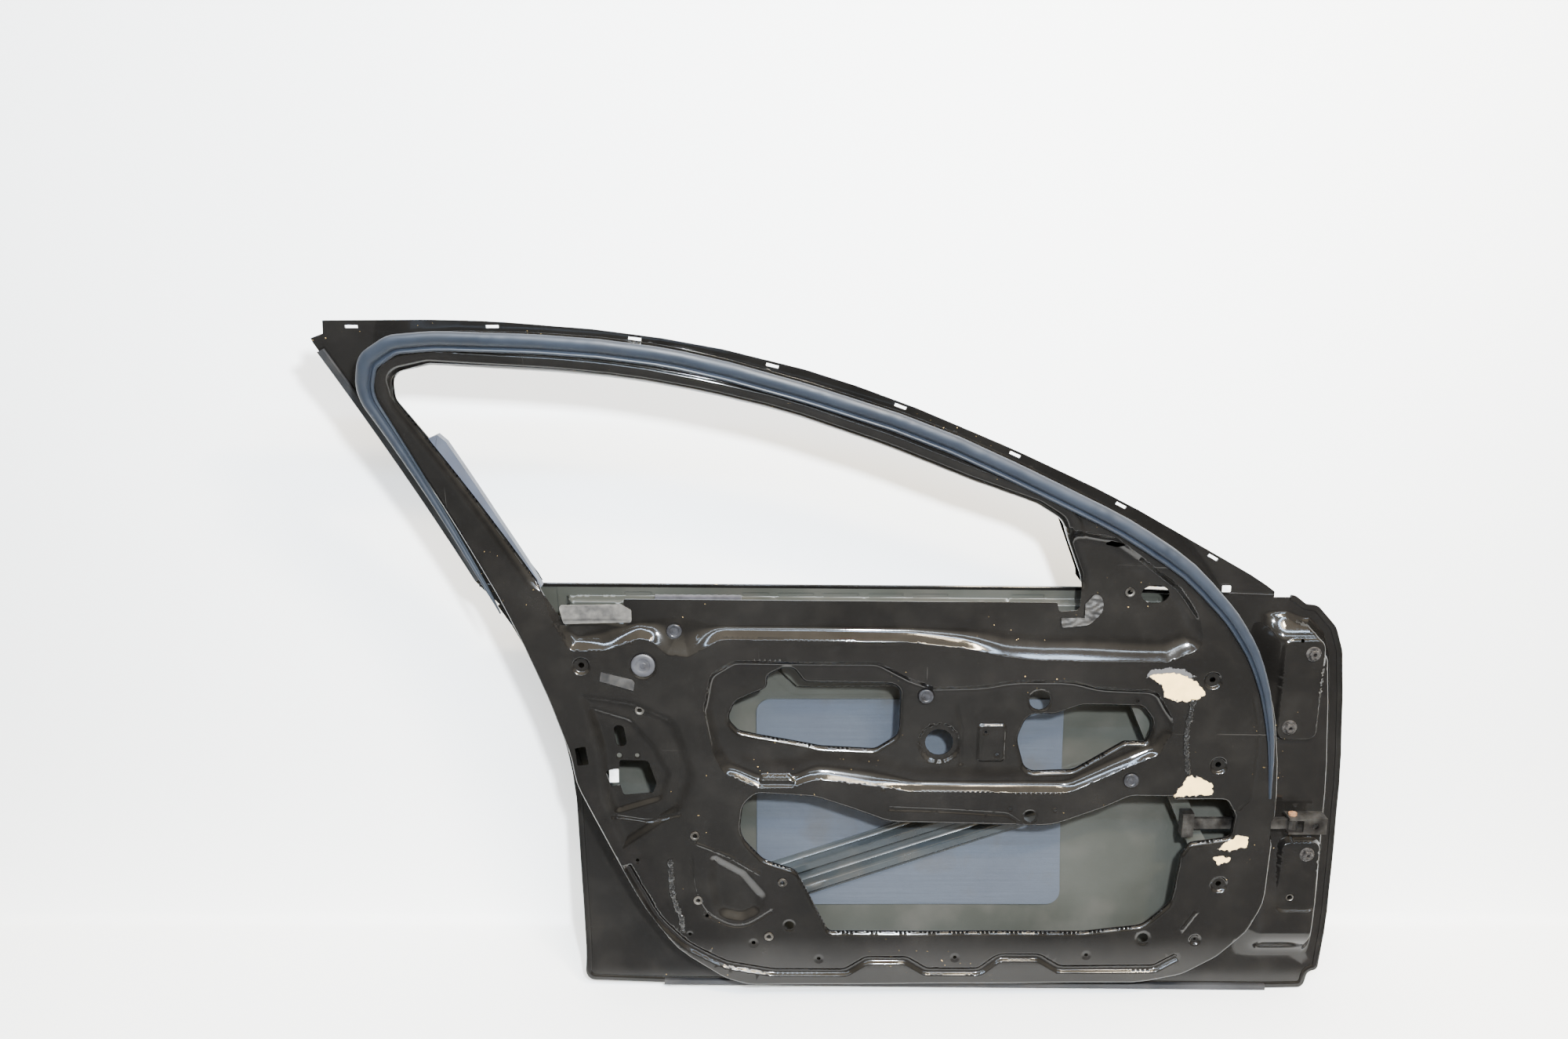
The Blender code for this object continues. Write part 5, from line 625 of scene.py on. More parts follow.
def sheet(name, outline, holes, height, thickness, step, looks, extra=None, clear=()):
    """A pressed sheet: y = height(x, z) on its outboard face and a thickness less on the other, with a rim.

    Corner normals come from the slope of the height function, so that reflections run smoothly. Each of clear is
    a closed path and two signed distances from it, between which only the extra points are used.
    """
    points = lattice(outline, step)
    for path, low, high in clear:
        away = near(points, path, True, 0.02)
        points = points[(away < low) | (away > high)]
    if extra is not None:
        points = np.vstack([points, extra])
    spots, faces = triangulate(outline, holes, points)
    level = height(spots)
    nudge = 0.00015
    slope_x = (height(spots + (nudge, 0)) - level) / nudge
    slope_z = (height(spots + (0, nudge)) - level) / nudge
    outward = np.stack([-slope_x, np.ones(len(spots)), -slope_z], axis=1)
    outward /= np.linalg.norm(outward, axis=1, keepdims=True)
    back = np.stack([spots[:, 0], level, spots[:, 1]], axis=1)
    front = back - np.array([0, thickness, 0])
    count = len(spots)
    edges = np.concatenate([faces[:, [0, 1]], faces[:, [1, 2]], faces[:, [2, 0]]])
    forward = edges[:, 0] * count + edges[:, 1]
    rim = edges[~np.isin(forward, edges[:, 1] * count + edges[:, 0])]
    sides = np.stack([rim[:, 1], rim[:, 0], rim[:, 0] + count, rim[:, 1] + count], axis=1)
    run = spots[rim[:, 1]] - spots[rim[:, 0]]
    run /= np.maximum(np.linalg.norm(run, axis=1, keepdims=True), 1e-9)
    rim_normal = np.stack([run[:, 1], np.zeros(len(run)), -run[:, 0]], axis=1)
    vertex_normal = np.vstack([-outward, outward])
    flipped = faces[:, ::-1] + count
    normals = np.concatenate([vertex_normal[faces.ravel()], vertex_normal[flipped.ravel()],
                              np.repeat(rim_normal, 4, axis=0)])
    index = np.concatenate([np.zeros(len(faces)), np.full(len(faces), len(looks) - 1), np.zeros(len(sides))])
    return add_mesh(name, np.vstack([front, back]), [faces, flipped, sides], looks, normals, index)


def sweep(name, path, section, base, looks, widths=None, ripple=0.0):
    """A closed section of (across, up) millimetres carried along a path; up runs towards -Y from base(points).

    Widths scale the section at each point of the path, and its height wavers by the share ripple.
    """
    normal = side_normals(path, closed=False)
    section = np.array(section) * MILLIMETRE
    scale = np.ones(len(path)) if widths is None else widths
    travel = travelled(path)
    wave = 1 + ripple * np.sin(travel * 210 + 3 * np.sin(travel * 47)) * np.sin(travel * 31)
    across = section[None, :, 0] * scale[:, None]
    up = section[None, :, 1] * (scale * wave)[:, None]
    flat = path[:, None, :] + normal[:, None, :] * across[..., None]
    level = base(flat.reshape(-1, 2)).reshape(across.shape) - up
    vertices = np.stack([flat[..., 0], level, flat[..., 1]], axis=2).reshape(-1, 3)
    rows, count = across.shape
    grid = np.arange(rows * count).reshape(rows, count)
    here, there = grid[:-1], np.roll(grid, -1, axis=1)[:-1]
    above, beside = grid[1:], np.roll(grid, -1, axis=1)[1:]
    sides = np.stack([here, above, beside, there], axis=2).reshape(-1, 4)
    ends = np.stack([grid[0], grid[-1][::-1]])
    area = np.sum(section[:, 0] * np.roll(section[:, 1], -1) - np.roll(section[:, 0], -1) * section[:, 1])
    if area > 0:
        sides, ends = sides[:, ::-1], ends[:, ::-1]
    return add_mesh(name, vertices, [sides, ends], looks)


def lathe(profile, centre, axis, segments=36):
    """Vertices and quads of a closed profile of (radius, height) millimetres turned about an axis."""
    axis = np.array(axis, dtype=float)
    across = np.array([axis[1], axis[2], axis[0]])
    up = np.cross(axis, across)
    angle = np.arange(segments) * (2 * math.pi / segments)
    profile = np.array(profile, dtype=float) * MILLIMETRE
    arm = np.cos(angle)[:, None] * across + np.sin(angle)[:, None] * up
    ring = profile[:, None, 0, None] * arm[None] + profile[:, None, 1, None] * axis
    vertices = (np.array(centre) + ring).reshape(-1, 3)
    grid = np.arange(len(vertices)).reshape(len(profile), segments)
    ahead = np.roll(grid, -1, axis=0)
    quads = np.stack([grid, np.roll(grid, -1, axis=1), np.roll(ahead, -1, axis=1), ahead], axis=2).reshape(-1, 4)
    return vertices, quads


def turned_piece(name, profile, centre, axis, look, *more):
    """One object of turned profiles; each of more is a profile and its number of sides."""
    vertices, quads = lathe(profile, centre, axis)
    for extra, sides in more:
        spots, faces = lathe(extra, centre, axis, sides)
        quads = np.vstack([quads, faces + len(vertices)])
        vertices = np.vstack([vertices, spots])
    return add_mesh(name, vertices, [quads], [look])


def node(tree, kind, inputs=None, **settings):
    """Adds a shader node, with its sockets set to values or linked to other nodes' outputs."""
    made = tree.nodes.new(kind)
    for key, value in settings.items():
        setattr(made, key, value)
    for key, value in (inputs or {}).items():
        if isinstance(value, bpy.types.NodeSocket):
            tree.links.new(value, made.inputs[key])
        else:
            made.inputs[key].default_value = value
    return made


def noise(tree, spot, scale, detail=3.0, stretch=None):
    """A noise value at a scale per metre, stretched by a Mapping node if asked."""
    if stretch is not None:
        spot = node(tree, "ShaderNodeMapping", {"Vector": spot, "Scale": stretch}).outputs[0]
    return node(tree, "ShaderNodeTexNoise", {"Vector": spot, "Scale": scale, "Detail": detail}).outputs[0]


def ramp(tree, value, low, high, start=0.0, end=1.0):
    """A value carried from low..high to start..end, held at both ends."""
    return node(tree, "ShaderNodeMapRange", {"Value": value, "From Min": low, "From Max": high, "To Min": start,
                                             "To Max": end}).outputs[0]


def blend(tree, share, first, second):
    """The first colour where share is 0 and the second where it is 1."""
    return node(tree, "ShaderNodeMix", {0: share, 6: first, 7: second}, data_type="RGBA").outputs[2]


def reckon(tree, operation, first, second):
    """A sum, product or other operation on two values."""
    return node(tree, "ShaderNodeMath", {0: first, 1: second}, operation=operation).outputs[0]


def surface(name):
    """A new material's tree, its Principled shader and the Object coordinates."""
    made = bpy.data.materials.new(name)
    made.use_nodes = True
    tree = made.node_tree
    shader = tree.nodes["Principled BSDF"]
    spot = node(tree, "ShaderNodeTexCoord").outputs["Object"]
    return made, tree, shader, spot


def wire(tree, shader, **sockets):
    """Sets or links the shader's sockets; an underscore stands for a space."""
    for key, value in sockets.items():
        socket = shader.inputs[key.replace("_", " ")]
        if isinstance(value, bpy.types.NodeSocket):
            tree.links.new(value, socket)
        else:
            socket.default_value = value


def finish(name, dark, light, roughness, metallic=0.0, slow=9.0, fine=900.0, bump=0.06, grime=0.0, sheen=0.0,
           specular=0.5):
    """A surface whose colour and roughness drift with a slow noise, with a fine grain and patches of grime."""
    made, tree, shader, spot = surface(name)
    drift = noise(tree, spot, slow, 4.0)
    grain = noise(tree, spot, fine, 2.0)
    colour = blend(tree, ramp(tree, drift, 0.35, 0.68), (*dark, 1), (*light, 1))
    colour = blend(tree, ramp(tree, grain, 0.35, 0.75, 0, 0.25), colour, (*dark, 1))
    rough = ramp(tree, drift, 0.3, 0.7, roughness[0], roughness[1])
    if grime:
        dirt = reckon(tree, "MULTIPLY", ramp(tree, noise(tree, spot, slow * 2.7, 6.0), 0.48, 0.72), grime)
        colour = blend(tree, dirt, colour, GRIME_COLOUR)
        rough = reckon(tree, "ADD", rough, reckon(tree, "MULTIPLY", dirt, 0.3))
    relief = node(tree, "ShaderNodeBump", {"Height": grain, "Strength": bump, "Distance": 0.0006}).outputs[0]
    wire(tree, shader, Base_Color=colour, Roughness=rough, Metallic=metallic, Normal=relief,
         Sheen_Weight=sheen, Specular_IOR_Level=specular)
    return made


def black_paint(name, settings):
    """Gloss black paint over cream filler, with dust, fine scratches and specks.

    The paint is off where the "bare" attribute passes 10, and rubbed dull where the "scuff" attribute does.
    """
    made, tree, shader, spot = surface(name)
    drift = noise(tree, spot, 7.0, 4.0)
    dust = ramp(tree, noise(tree, spot, 26.0, 8.0), 0.47, 0.78)
    up = node(tree, "ShaderNodeSeparateXYZ", {0: node(tree, "ShaderNodeTexCoord").outputs["Normal"]}).outputs[2]
    dust = reckon(tree, "MULTIPLY", dust, ramp(tree, up, -0.3, 0.6, settings.dust * 0.35, settings.dust))
    colour = blend(tree, ramp(tree, drift, 0.35, 0.7), (*settings.paint_colour, 1),
                   (*[channel * 1.7 for channel in settings.paint_colour], 1))
    colour = blend(tree, dust, colour, DUST_COLOUR)
    marks = reckon(tree, "MAXIMUM",
                   ramp(tree, noise(tree, spot, 3.0, 2.0, (0.9, 1.0, 62.0)), 0.735, 0.76),
                   ramp(tree, noise(tree, spot, 2.6, 2.0, (70.0, 1.0, 2.2)), 0.745, 0.77))
    marks = reckon(tree, "MULTIPLY", marks, ramp(tree, noise(tree, spot, 5.0), 0.5, 0.62, 0, 0.09))
    colour = blend(tree, marks, colour, SCRATCH_COLOUR)
    specks = reckon(tree, "MULTIPLY", ramp(tree, noise(tree, spot, 260.0, 1.0), 0.77, 0.79),
                    ramp(tree, noise(tree, spot, 6.5), 0.56, 0.64))
    bare = node(tree, "ShaderNodeAttribute", attribute_name="bare").outputs["Fac"]
    ragged = reckon(tree, "ADD", bare, ramp(tree, noise(tree, spot, 130.0, 5.0), 0.25, 0.75, -3.2, 3.2))
    open_patch = ramp(tree, ragged, 9.9, 10.15)
    edge = ramp(tree, ragged, 9.2, 10.0)
    colour = blend(tree, reckon(tree, "MULTIPLY", edge, 0.6), colour, CHIP_EDGE_COLOUR)
    cream = blend(tree, ramp(tree, noise(tree, spot, 55.0, 6.0), 0.35, 0.7), (*settings.filler_colour, 1),
                  (*[channel * 0.80 for channel in settings.filler_colour], 1))
    cover = reckon(tree, "MAXIMUM", open_patch, reckon(tree, "MULTIPLY", specks, 0.8))
    colour = blend(tree, cover, colour, cream)
    scuff = node(tree, "ShaderNodeAttribute", attribute_name="scuff").outputs["Fac"]
    torn = ramp(tree, noise(tree, spot, 240.0, 5.0), 0.3, 0.7, -3.0, 2.0)
    scuff = ramp(tree, reckon(tree, "ADD", scuff, torn), 9.6, 10.4)
    scuff = reckon(tree, "MULTIPLY", scuff, reckon(tree, "SUBTRACT", 1.0, cover))
    colour = blend(tree, scuff, colour, SCUFF_COLOUR)
    rough = reckon(tree, "ADD", ramp(tree, drift, 0.3, 0.7, settings.paint_gloss * 0.7, settings.paint_gloss * 1.4),
                   reckon(tree, "MULTIPLY", dust, 0.6))
    rough = reckon(tree, "MAXIMUM", rough, reckon(tree, "MULTIPLY", reckon(tree, "MAXIMUM", cover, scuff), 0.75))
    peel = reckon(tree, "ADD", noise(tree, spot, 420.0, 1.0), reckon(tree, "MULTIPLY", cover, -4.0))
    rubbed = reckon(tree, "MULTIPLY", noise(tree, spot, 700.0), 16.0)
    peel = reckon(tree, "ADD", peel, reckon(tree, "MULTIPLY", scuff, rubbed))
    relief = node(tree, "ShaderNodeBump", {"Height": peel, "Strength": 0.05, "Distance": 0.0004}).outputs[0]
    wire(tree, shader, Base_Color=colour, Roughness=rough, Normal=relief, Specular_IOR_Level=0.25)
    return made


def foil(name, settings):
    """Rolled aluminium foil: streaks along the roll, cloudy oxide, brown stains and a soft crinkle."""
    made, tree, shader, spot = surface(name)
    streak = noise(tree, spot, 5.0, 6.0, (1.0, 1.0, 26.0))
    cloud = noise(tree, spot, 9.0, 7.0)
    colour = blend(tree, ramp(tree, cloud, 0.35, 0.7), (*settings.foil_colour, 1), OXIDE_COLOUR)
    stain = ramp(tree, noise(tree, spot, 14.0, 8.0), 0.55, 0.78, 0, 0.5)
    colour = blend(tree, stain, colour, STAIN_COLOUR)
    height = reckon(tree, "ADD", streak, reckon(tree, "MULTIPLY", noise(tree, spot, 60.0, 4.0), 0.7))
    relief = node(tree, "ShaderNodeBump", {"Height": height, "Strength": 0.22, "Distance": 0.0012}).outputs[0]
    rough = ramp(tree, cloud, 0.3, 0.7, 0.40, 0.58)
    wire(tree, shader, Base_Color=colour, Roughness=rough, Metallic=0.6, Normal=relief)
    return made


def looks(settings):
    """Every finish of the door, made once and kept by name."""
    if "door_black_paint" in bpy.data.materials:
        return {made.name[5:]: made for made in bpy.data.materials if made.name.startswith("door_")}
    primer = tuple(settings.primer_colour)
    darker = tuple(channel * 0.80 for channel in primer)
    rubber = tuple(settings.rubber_colour)
    dark_rubber = tuple(channel * 0.7 for channel in rubber)
    made = {"black_paint": black_paint("door_black_paint", settings),
            "damping_foil": foil("door_damping_foil", settings)}
    table = {
        "primer": (darker, primer, (0.34, 0.50), dict(slow=6, bump=0.05, grime=0.35)),
        "beam_primer": ((0.014, 0.0165, 0.018), (0.027, 0.031, 0.033), (0.14, 0.26),
                        dict(slow=7, bump=0.04, grime=0.4, specular=0.6)),
        "seal_rubber": (dark_rubber, rubber, (0.42, 0.60),
                        dict(slow=12, fine=1500, bump=0.10, grime=0.07, specular=0.35)),
        "strip_rubber": ((0.008, 0.008, 0.009), (0.019, 0.019, 0.020), (0.45, 0.62),
                        dict(specular=0.3, slow=14, grime=0.35)),
        "run_rubber": ((0.030, 0.034, 0.046), (0.052, 0.059, 0.079), (0.45, 0.6), dict(slow=14, grime=0.2)),
        "foam": ((0.026, 0.024, 0.022), (0.090, 0.084, 0.074), (0.85, 0.98), dict(slow=60, fine=1400, bump=0.6)),
        "felt": ((0.014, 0.013, 0.015), (0.036, 0.033, 0.038), (0.9, 1.0),
                        dict(slow=90, fine=2200, bump=0.7, sheen=0.08)),
        "tape": ((0.010, 0.0095, 0.0095), (0.032, 0.030, 0.028), (0.45, 0.7),
                        dict(specular=0.3, slow=45, fine=700, bump=0.35, grime=0.4)),
        "plug_plastic": ((0.016, 0.016, 0.019), (0.042, 0.042, 0.047), (0.35, 0.55), dict(slow=40, grime=0.4)),
        "grommet_plastic": ((0.008, 0.008, 0.009), (0.026, 0.026, 0.029), (0.10, 0.20),
                        dict(specular=0.25, slow=90, fine=1300, bump=0.08, grime=0.15)),
        "zinc_steel": ((0.07, 0.066, 0.060), (0.17, 0.16, 0.145), (0.30, 0.5),
                        dict(metallic=1.0, slow=70, grime=0.5)),
        "bolt_steel": ((0.012, 0.011, 0.011), (0.045, 0.042, 0.040), (0.16, 0.30),
                        dict(specular=0.3, metallic=0.2, slow=150, grime=0.7)),
        "dark_steel": ((0.022, 0.020, 0.019), (0.080, 0.075, 0.069), (0.35, 0.55),
                        dict(metallic=0.9, slow=50, grime=0.6)),
        "rusty_steel": ((0.16, 0.07, 0.03), (0.30, 0.17, 0.09), (0.65, 0.85),
                        dict(metallic=0.35, slow=120, bump=0.4)),
        "sealant": ((0.003, 0.003, 0.003), (0.014, 0.0135, 0.013), (0.12, 0.34),
                        dict(specular=0.35, slow=420, fine=520, bump=1.0)),
        "white_clip": ((0.55, 0.55, 0.53), (0.75, 0.75, 0.73), (0.4, 0.5), dict(slow=50, grime=0.25)),
    }
    for name, (dark, light, roughness, extra) in table.items():
        made[name] = finish("door_" + name, dark, light, roughness, **extra)
    return made


def rings(share, radii, segments=20):
    """Circles of points round a place, at radii in millimetres."""
    return np.vstack([circle(share, radius * MILLIMETRE, segments) for radius in radii])


def trim_slots():
    """The slots along the frame's top flange, each turned to follow the edge."""
    length, half_height, inboard = 0.016, 0.002, 0.0055
    top = SHAPE["edge"][10:]
    slots = []
    for share in TRIM_SLOT_SHARES:
        x, _ = place((share, 0))
        z, ahead = np.interp([x, x + length], top[:, 0], top[:, 1])
        along = np.array([length, ahead - z]) / math.hypot(length, ahead - z)
        down = np.array([along[1], -along[0]])
        middle = np.array([x, z]) + down * inboard
        slots.append(np.array([middle + along * side * length / 2 + down * level * half_height
                               for side, level in ((-1, -1), (1, -1), (1, 1), (-1, 1))]))
    return slots


def panel_holes():
    """Every hole of the inner panel, with its longer sides split."""
    nut_hole, bolt_hole = 0.0052, 0.006
    holes = [loop for loop, _, _ in SHAPE["lips"]]
    holes += [rounded(table)
              for table in (LATCH_OPENING_SHARES, EYE_HOLE_SHARES, EDGE_NOTCH_SHARES, LATCH_SLOT_SHARES)]
    holes.append(ellipse(place(MIRROR_HOLE[0]), MIRROR_HOLE[1] * MILLIMETRE, MIRROR_HOLE[2] * MILLIMETRE))
    holes += [circle(share, hole * MILLIMETRE, 20) for share, hole, _, _ in DISHED_HOLES if hole]
    holes += [circle(share, nut_hole, 16) for share in RIVET_NUT_SHARES]
    holes += [circle(bolt, bolt_hole, 20) for _, _, _, bolts in HINGE_PADS for bolt in bolts]
    holes.append(box_loop(place(CHECK_EDGE) + (0.001, 0), 0.014, 0.032, 0.001))
    return [resample(loop, 0.007) for loop in holes + trim_slots()]


def panel_points():
    """Extra points of the inner panel along every flank, lip, groove and dish."""
    wall_rows = np.array([-8, -6, -5, -4, -3, -2, -1, -0.2, 0.5, 1.3, 2.4, 3.6, 5]) * MILLIMETRE
    sets = [ribbons(SHAPE["plateau"], wall_rows, 0.008)]
    for foot, top, _ in SHAPE["bands"]:
        sets.append(ribbons(foot, np.array([-1, 0, 1, 2.2, 3.6, 5.4, 7.6, 10, 13, 17, 22, 27]) * MILLIMETRE, 0.007))
        sets.append(ribbons(top, np.array([-3, -1, 0, 1.5]) * MILLIMETRE, 0.007))
    for loop, _, flank in SHAPE["steps"]:
        sets.append(ribbons(loop, np.linspace(-0.1, 1.1, 8) * flank, 0.006))
    sets.append(ribbons(SHAPE["bead"], np.array([-8, -6, -4, -2, 0, 2, 4, 6, 8]) * MILLIMETRE, 0.007, False))
    for path, half, _ in SHAPE["grooves"]:
        sets.append(ribbons(path, np.linspace(-1, 1, 5) * half, 0.006, False))
    for loop, width, _ in SHAPE["lips"]:
        sets.append(ribbons(loop, -width * np.array([0.05, 0.12, 0.2, 0.32, 0.46, 0.6, 0.8, 1.0]), 0.006))
    sets.append(ribbons(SHAPE["window"], -np.arange(16, 25.5, 1.3) * MILLIMETRE, 0.006))
    sets.append(ribbons(SHAPE["bands"][1][1], np.array([3, 6, 9, 13, 18, 23]) * MILLIMETRE, 0.008))
    for share, hole, dish, _ in DISHED_HOLES:
        low = max(dish - 5.5, hole)
        sets.append(rings(share, np.linspace(low + 0.2, dish + 0.5, 5)))
    for loop, _ in SHAPE["pads"]:
        sets.append(ribbons(loop, np.array([-6, -4.5, -3, -1.5, 0]) * MILLIMETRE, 0.008))
    rim = ribbons(SHAPE["skin"], np.arange(16, 35, 1.8) * MILLIMETRE, 0.007)
    sets.append(rim[shelf_share(rim) > 0.02])
    sets.append(lattice(np.array([place((0.905, 0.530)), place((0.990, 0.600))]), 0.0042))
    for chip in SHAPE["chips"]:
        sets.append(lattice(np.vstack([chip - 0.006, chip + 0.006]), 0.0028))
    return np.vstack(sets)


def build_inner_panel(settings, look):
    """The one-piece pressing; point attributes hold 10 + the millimetres inside a bare patch and a scuff."""
    holes = panel_holes()
    edge = np.vstack([SHAPE["edge"], inset(SHAPE["skin"], 0.0036)[:len(SHAPE["hem"])]])
    clear = [(SHAPE["plateau"], -0.0085, 0.0055), (SHAPE["window"], -0.0255, 0.001), (SHAPE["skin"], 0.0155, 0.0345)]
    clear += [(loop, -width, 0.001) for loop, width, _ in SHAPE["lips"][1:]]
    panel = sheet("panel_pressing", resample(edge, 0.009), holes, panel_height, PANEL_THICKNESS, settings.mesh_step,
                  [look["black_paint"]], panel_points(), clear)
    count = len(panel.data.vertices)
    places = np.zeros(count * 3, dtype=np.float32)
    panel.data.vertices.foreach_get("co", places)
    flat = places.reshape(-1, 3)[:, [0, 2]].astype(float) - DRAWING_ORIGIN[[0, 2]]
    for name, loops in (("bare", SHAPE["chips"]), ("scuff", [rounded(SCUFF_SHARES)])):
        inside = np.max([near(flat, loop, True, 0.012) for loop in loops], axis=0)
        attribute = panel.data.attributes.new(name, "FLOAT", "POINT")
        attribute.data.foreach_set("value", np.maximum(10 + inside / MILLIMETRE, 0).astype(np.float32))
    settle(panel, "shell", "black_paint", "inner_panel")


def hoop_height(points):
    """Outer face of the window hoop: the skin's curve, with a quarter-round lip rolled inwards round the window."""
    turn = np.clip(1 - np.abs(near(points, SHAPE["window"], True, 0.02)) / HOOP_LIP_WIDTH, 0, 1)
    return skin_y(points[:, 1]) - HOOP_LIP_DEPTH * quarter_round(turn)


def skin_face(points):
    """The skin's outer face without its handle dish."""
    return skin_y(points[:, 1])


def build_outer_shell(settings, look):
    """The outer skin with its hem and belt roll, and the outer half of the window frame.

    The hoop's opening moves 14 mm outwards along the rear post, so that the glass run is seen against the wall.
    """
    hem = SHAPE["hem"]
    inner_hem = inset(SHAPE["skin"], 0.0086)[:len(hem)]
    outline = resample(np.vstack([inner_hem, SHAPE["skin"][len(hem):]]), 0.012)
    centre = place(HANDLE_DISH[0])
    slot = box_loop(centre + (0.0819, 0), 0.022, 0.014, 0.006)
    lock = ellipse(centre - (0.080, 0), 0.011, 0.011)
    dish_rows = ribbons(ellipse(centre, 0.055, 0.028, 60), np.arange(0, 20, 2.5) * MILLIMETRE, 0.005)
    black = [look["black_paint"]]
    skin = sheet("skin_sheet", outline, [slot, lock], skin_height, SKIN_THICKNESS, 0.011, [look["primer"], *black],
                 dish_rows)
    settle(skin, "shell", "black_paint", "outer_skin")
    fold = sweep("skin_hem", resample(hem[1:-1], 0.012, False), HEM_SECTION, skin_face, black)
    settle(fold, "shell", "black_paint", "outer_skin")
    belt = resample(np.vstack([hem[-1:], SHAPE["skin"][len(hem):], hem[:1]])[::-1], 0.012, False)
    rolled = sweep("belt_roll", belt, BELT_ROLL_SECTION, skin_face, black)
    settle(rolled, "shell", "black_paint", "outer_skin")
    window = SHAPE["window"]
    high = window[:, 1] > 0.636
    first = int(np.argmin(high))
    above = np.vstack([window[first:][high[first:]], window[:first]])
    above[:, 0] -= 0.014 * ease(-length_share(above), -0.24, -0.17)
    outline = np.vstack([SHAPE["edge"], place((0.727, 0.6225)), above, place((0.186, 0.628))])
    lip = ribbons(window, -HOOP_LIP_WIDTH * np.array([0.06, 0.2, 0.42, 0.7, 1.0]), 0.008)
    hoop = sheet("window_hoop", resample(outline, 0.01), trim_slots(), hoop_height, SKIN_THICKNESS, 0.012, black, lip)
    settle(hoop, "shell", "black_paint", "window_frame_outer")


def rail_height(points, outline):
    """The outer rail: a flange on the skin, and a smooth step of 13 mm away from it."""
    return flange_y(points[:, 1]) - 0.013 * ease(near(points, outline, True, 0.2), 0.012, 0.019)


def build_inside(settings, look):
    """What shows through the openings: slotted belt rail, impact beam and damping pad."""
    outline = rounded(OUTER_RAIL_SHARES)
    belt = np.array([place(row) for row in (HEM_SHARES[-1], *BELT_SHARES, HEM_SHARES[0])])
    slots = []
    for low, high in RAIL_SLOT_SHARES:
        left, right = place((low, 0))[0], place((high, 0))[0]
        middle = (left + right) / 2
        level = np.interp(middle, belt[:, 0], belt[:, 1]) - 0.0140
        slots.append(box_loop((middle, level), right - left, 0.006, 0.0027))
    extra = ribbons(outline, np.array([11, 12, 13.5, 15, 16.5, 18, 19, 20]) * MILLIMETRE, 0.009)
    extra = np.vstack([extra] + [ribbons(loop, [-0.001, -0.0025], 0.004) for loop in slots])
    rail = sheet("belt_rail", resample(outline, 0.01), slots, lambda p: rail_height(p, outline), 0.0012, 0.012,
                 [look["primer"]], extra)
    settle(rail, "shell", "grey_green_primer", "belt_rail_outer")
    x = np.linspace(place((0.299, 0))[0], place((0.385, 0))[0], 60)
    path = np.stack([x, np.interp(x, belt[:, 0], belt[:, 1]) - 0.0160], axis=1)
    widths = 1 + 0.06 * np.sin(np.arange(60) * 1.1)
    felt = sweep("belt_felt_strip", path, [(a * 11, b * 6) for a, b in STRIP_SECTION],
                 lambda p: flange_y(p[:, 1]) - 0.0147, [look["felt"]], widths, 0.05)
    settle(felt, "shell", "felt", "belt_felt")
    section = [(a, up + 1.8) for a, up in BEAM_SECTION] + BEAM_SECTION[::-1]
    beam = sweep("impact_beam", straight(BEAM_ENDS, 60), section, lambda p: flange_y(p[:, 1]) - 0.003,
                 [look["beam_primer"]])
    settle(beam, "shell", "beam_primer", "side_impact_beam")

    def pad_height(points):
        x, z = points[:, 0], points[:, 1]
        return flange_y(z) - 0.0003 * (1 + np.sin(x * 19 + 4 * np.sin(z * 13)) * np.sin(z * 27 + 1))

    pad = sheet("foil_pad", resample(rounded(PAD_SHARES), 0.01), [], pad_height, 0.0019, 0.009, [look["damping_foil"]])
    settle(pad, "shell", "damping_foil", "damping_pad")


def seal_ground(points):
    """What the weather seal stands on: the panel's inboard face."""
    return lean_y(points[:, 1]) - 0.0019


def build_seals(settings, look):
    """The weather seal round the frame and the rear glass run."""
    path = resample(rounded(SEAL_SHARES, closed=False, turn_step=0.12), 0.006, False)
    path = inset(path, -0.004, closed=False)
    travel = travelled(path)
    front = np.interp(travel[-1] - travel, [0, 0.10, 0.24, 0.42], [3.5, 11, 20, 26])
    rear = np.interp(travel, [0, 0.04, 0.17, 0.29, 0.39], [2, 6, 11, 18, 26])
    widths = np.minimum(front, rear) / 26
    seal = sweep("weather_seal", path, SEAL_SECTION, seal_ground, [look["seal_rubber"]], widths, 0.035)
    settle(seal, "shell", "seal_rubber", "door_seal")
    path = straight(GLASS_RUN_ENDS, 70)
    below = ease(-path[:, 1], -0.842, -0.839)
    path = path - np.array([0.017, 0.003]) * (1 - below)[:, None]
    widths = 0.15 + 0.85 * below + 0.1 * ease(-path[:, 1], -0.74, -0.65)
    run = sweep("glass_run", path, GLASS_RUN_SECTION, lambda p: lean_y(p[:, 1]) + 0.011, [look["run_rubber"]], widths)
    settle(run, "shell", "strip_rubber", "rear_glass_run")


def crumple(points, depth, scale):
    """Soft folds: a product of two warped sines, from 0 to the depth."""
    x, z = points[:, 0] * scale, points[:, 1] * scale
    return depth * (0.5 + 0.5 * np.sin(x + 1.7 * np.sin(z * 0.8)) * np.sin(z * 1.3 + 1.1 * np.sin(x * 0.7)))


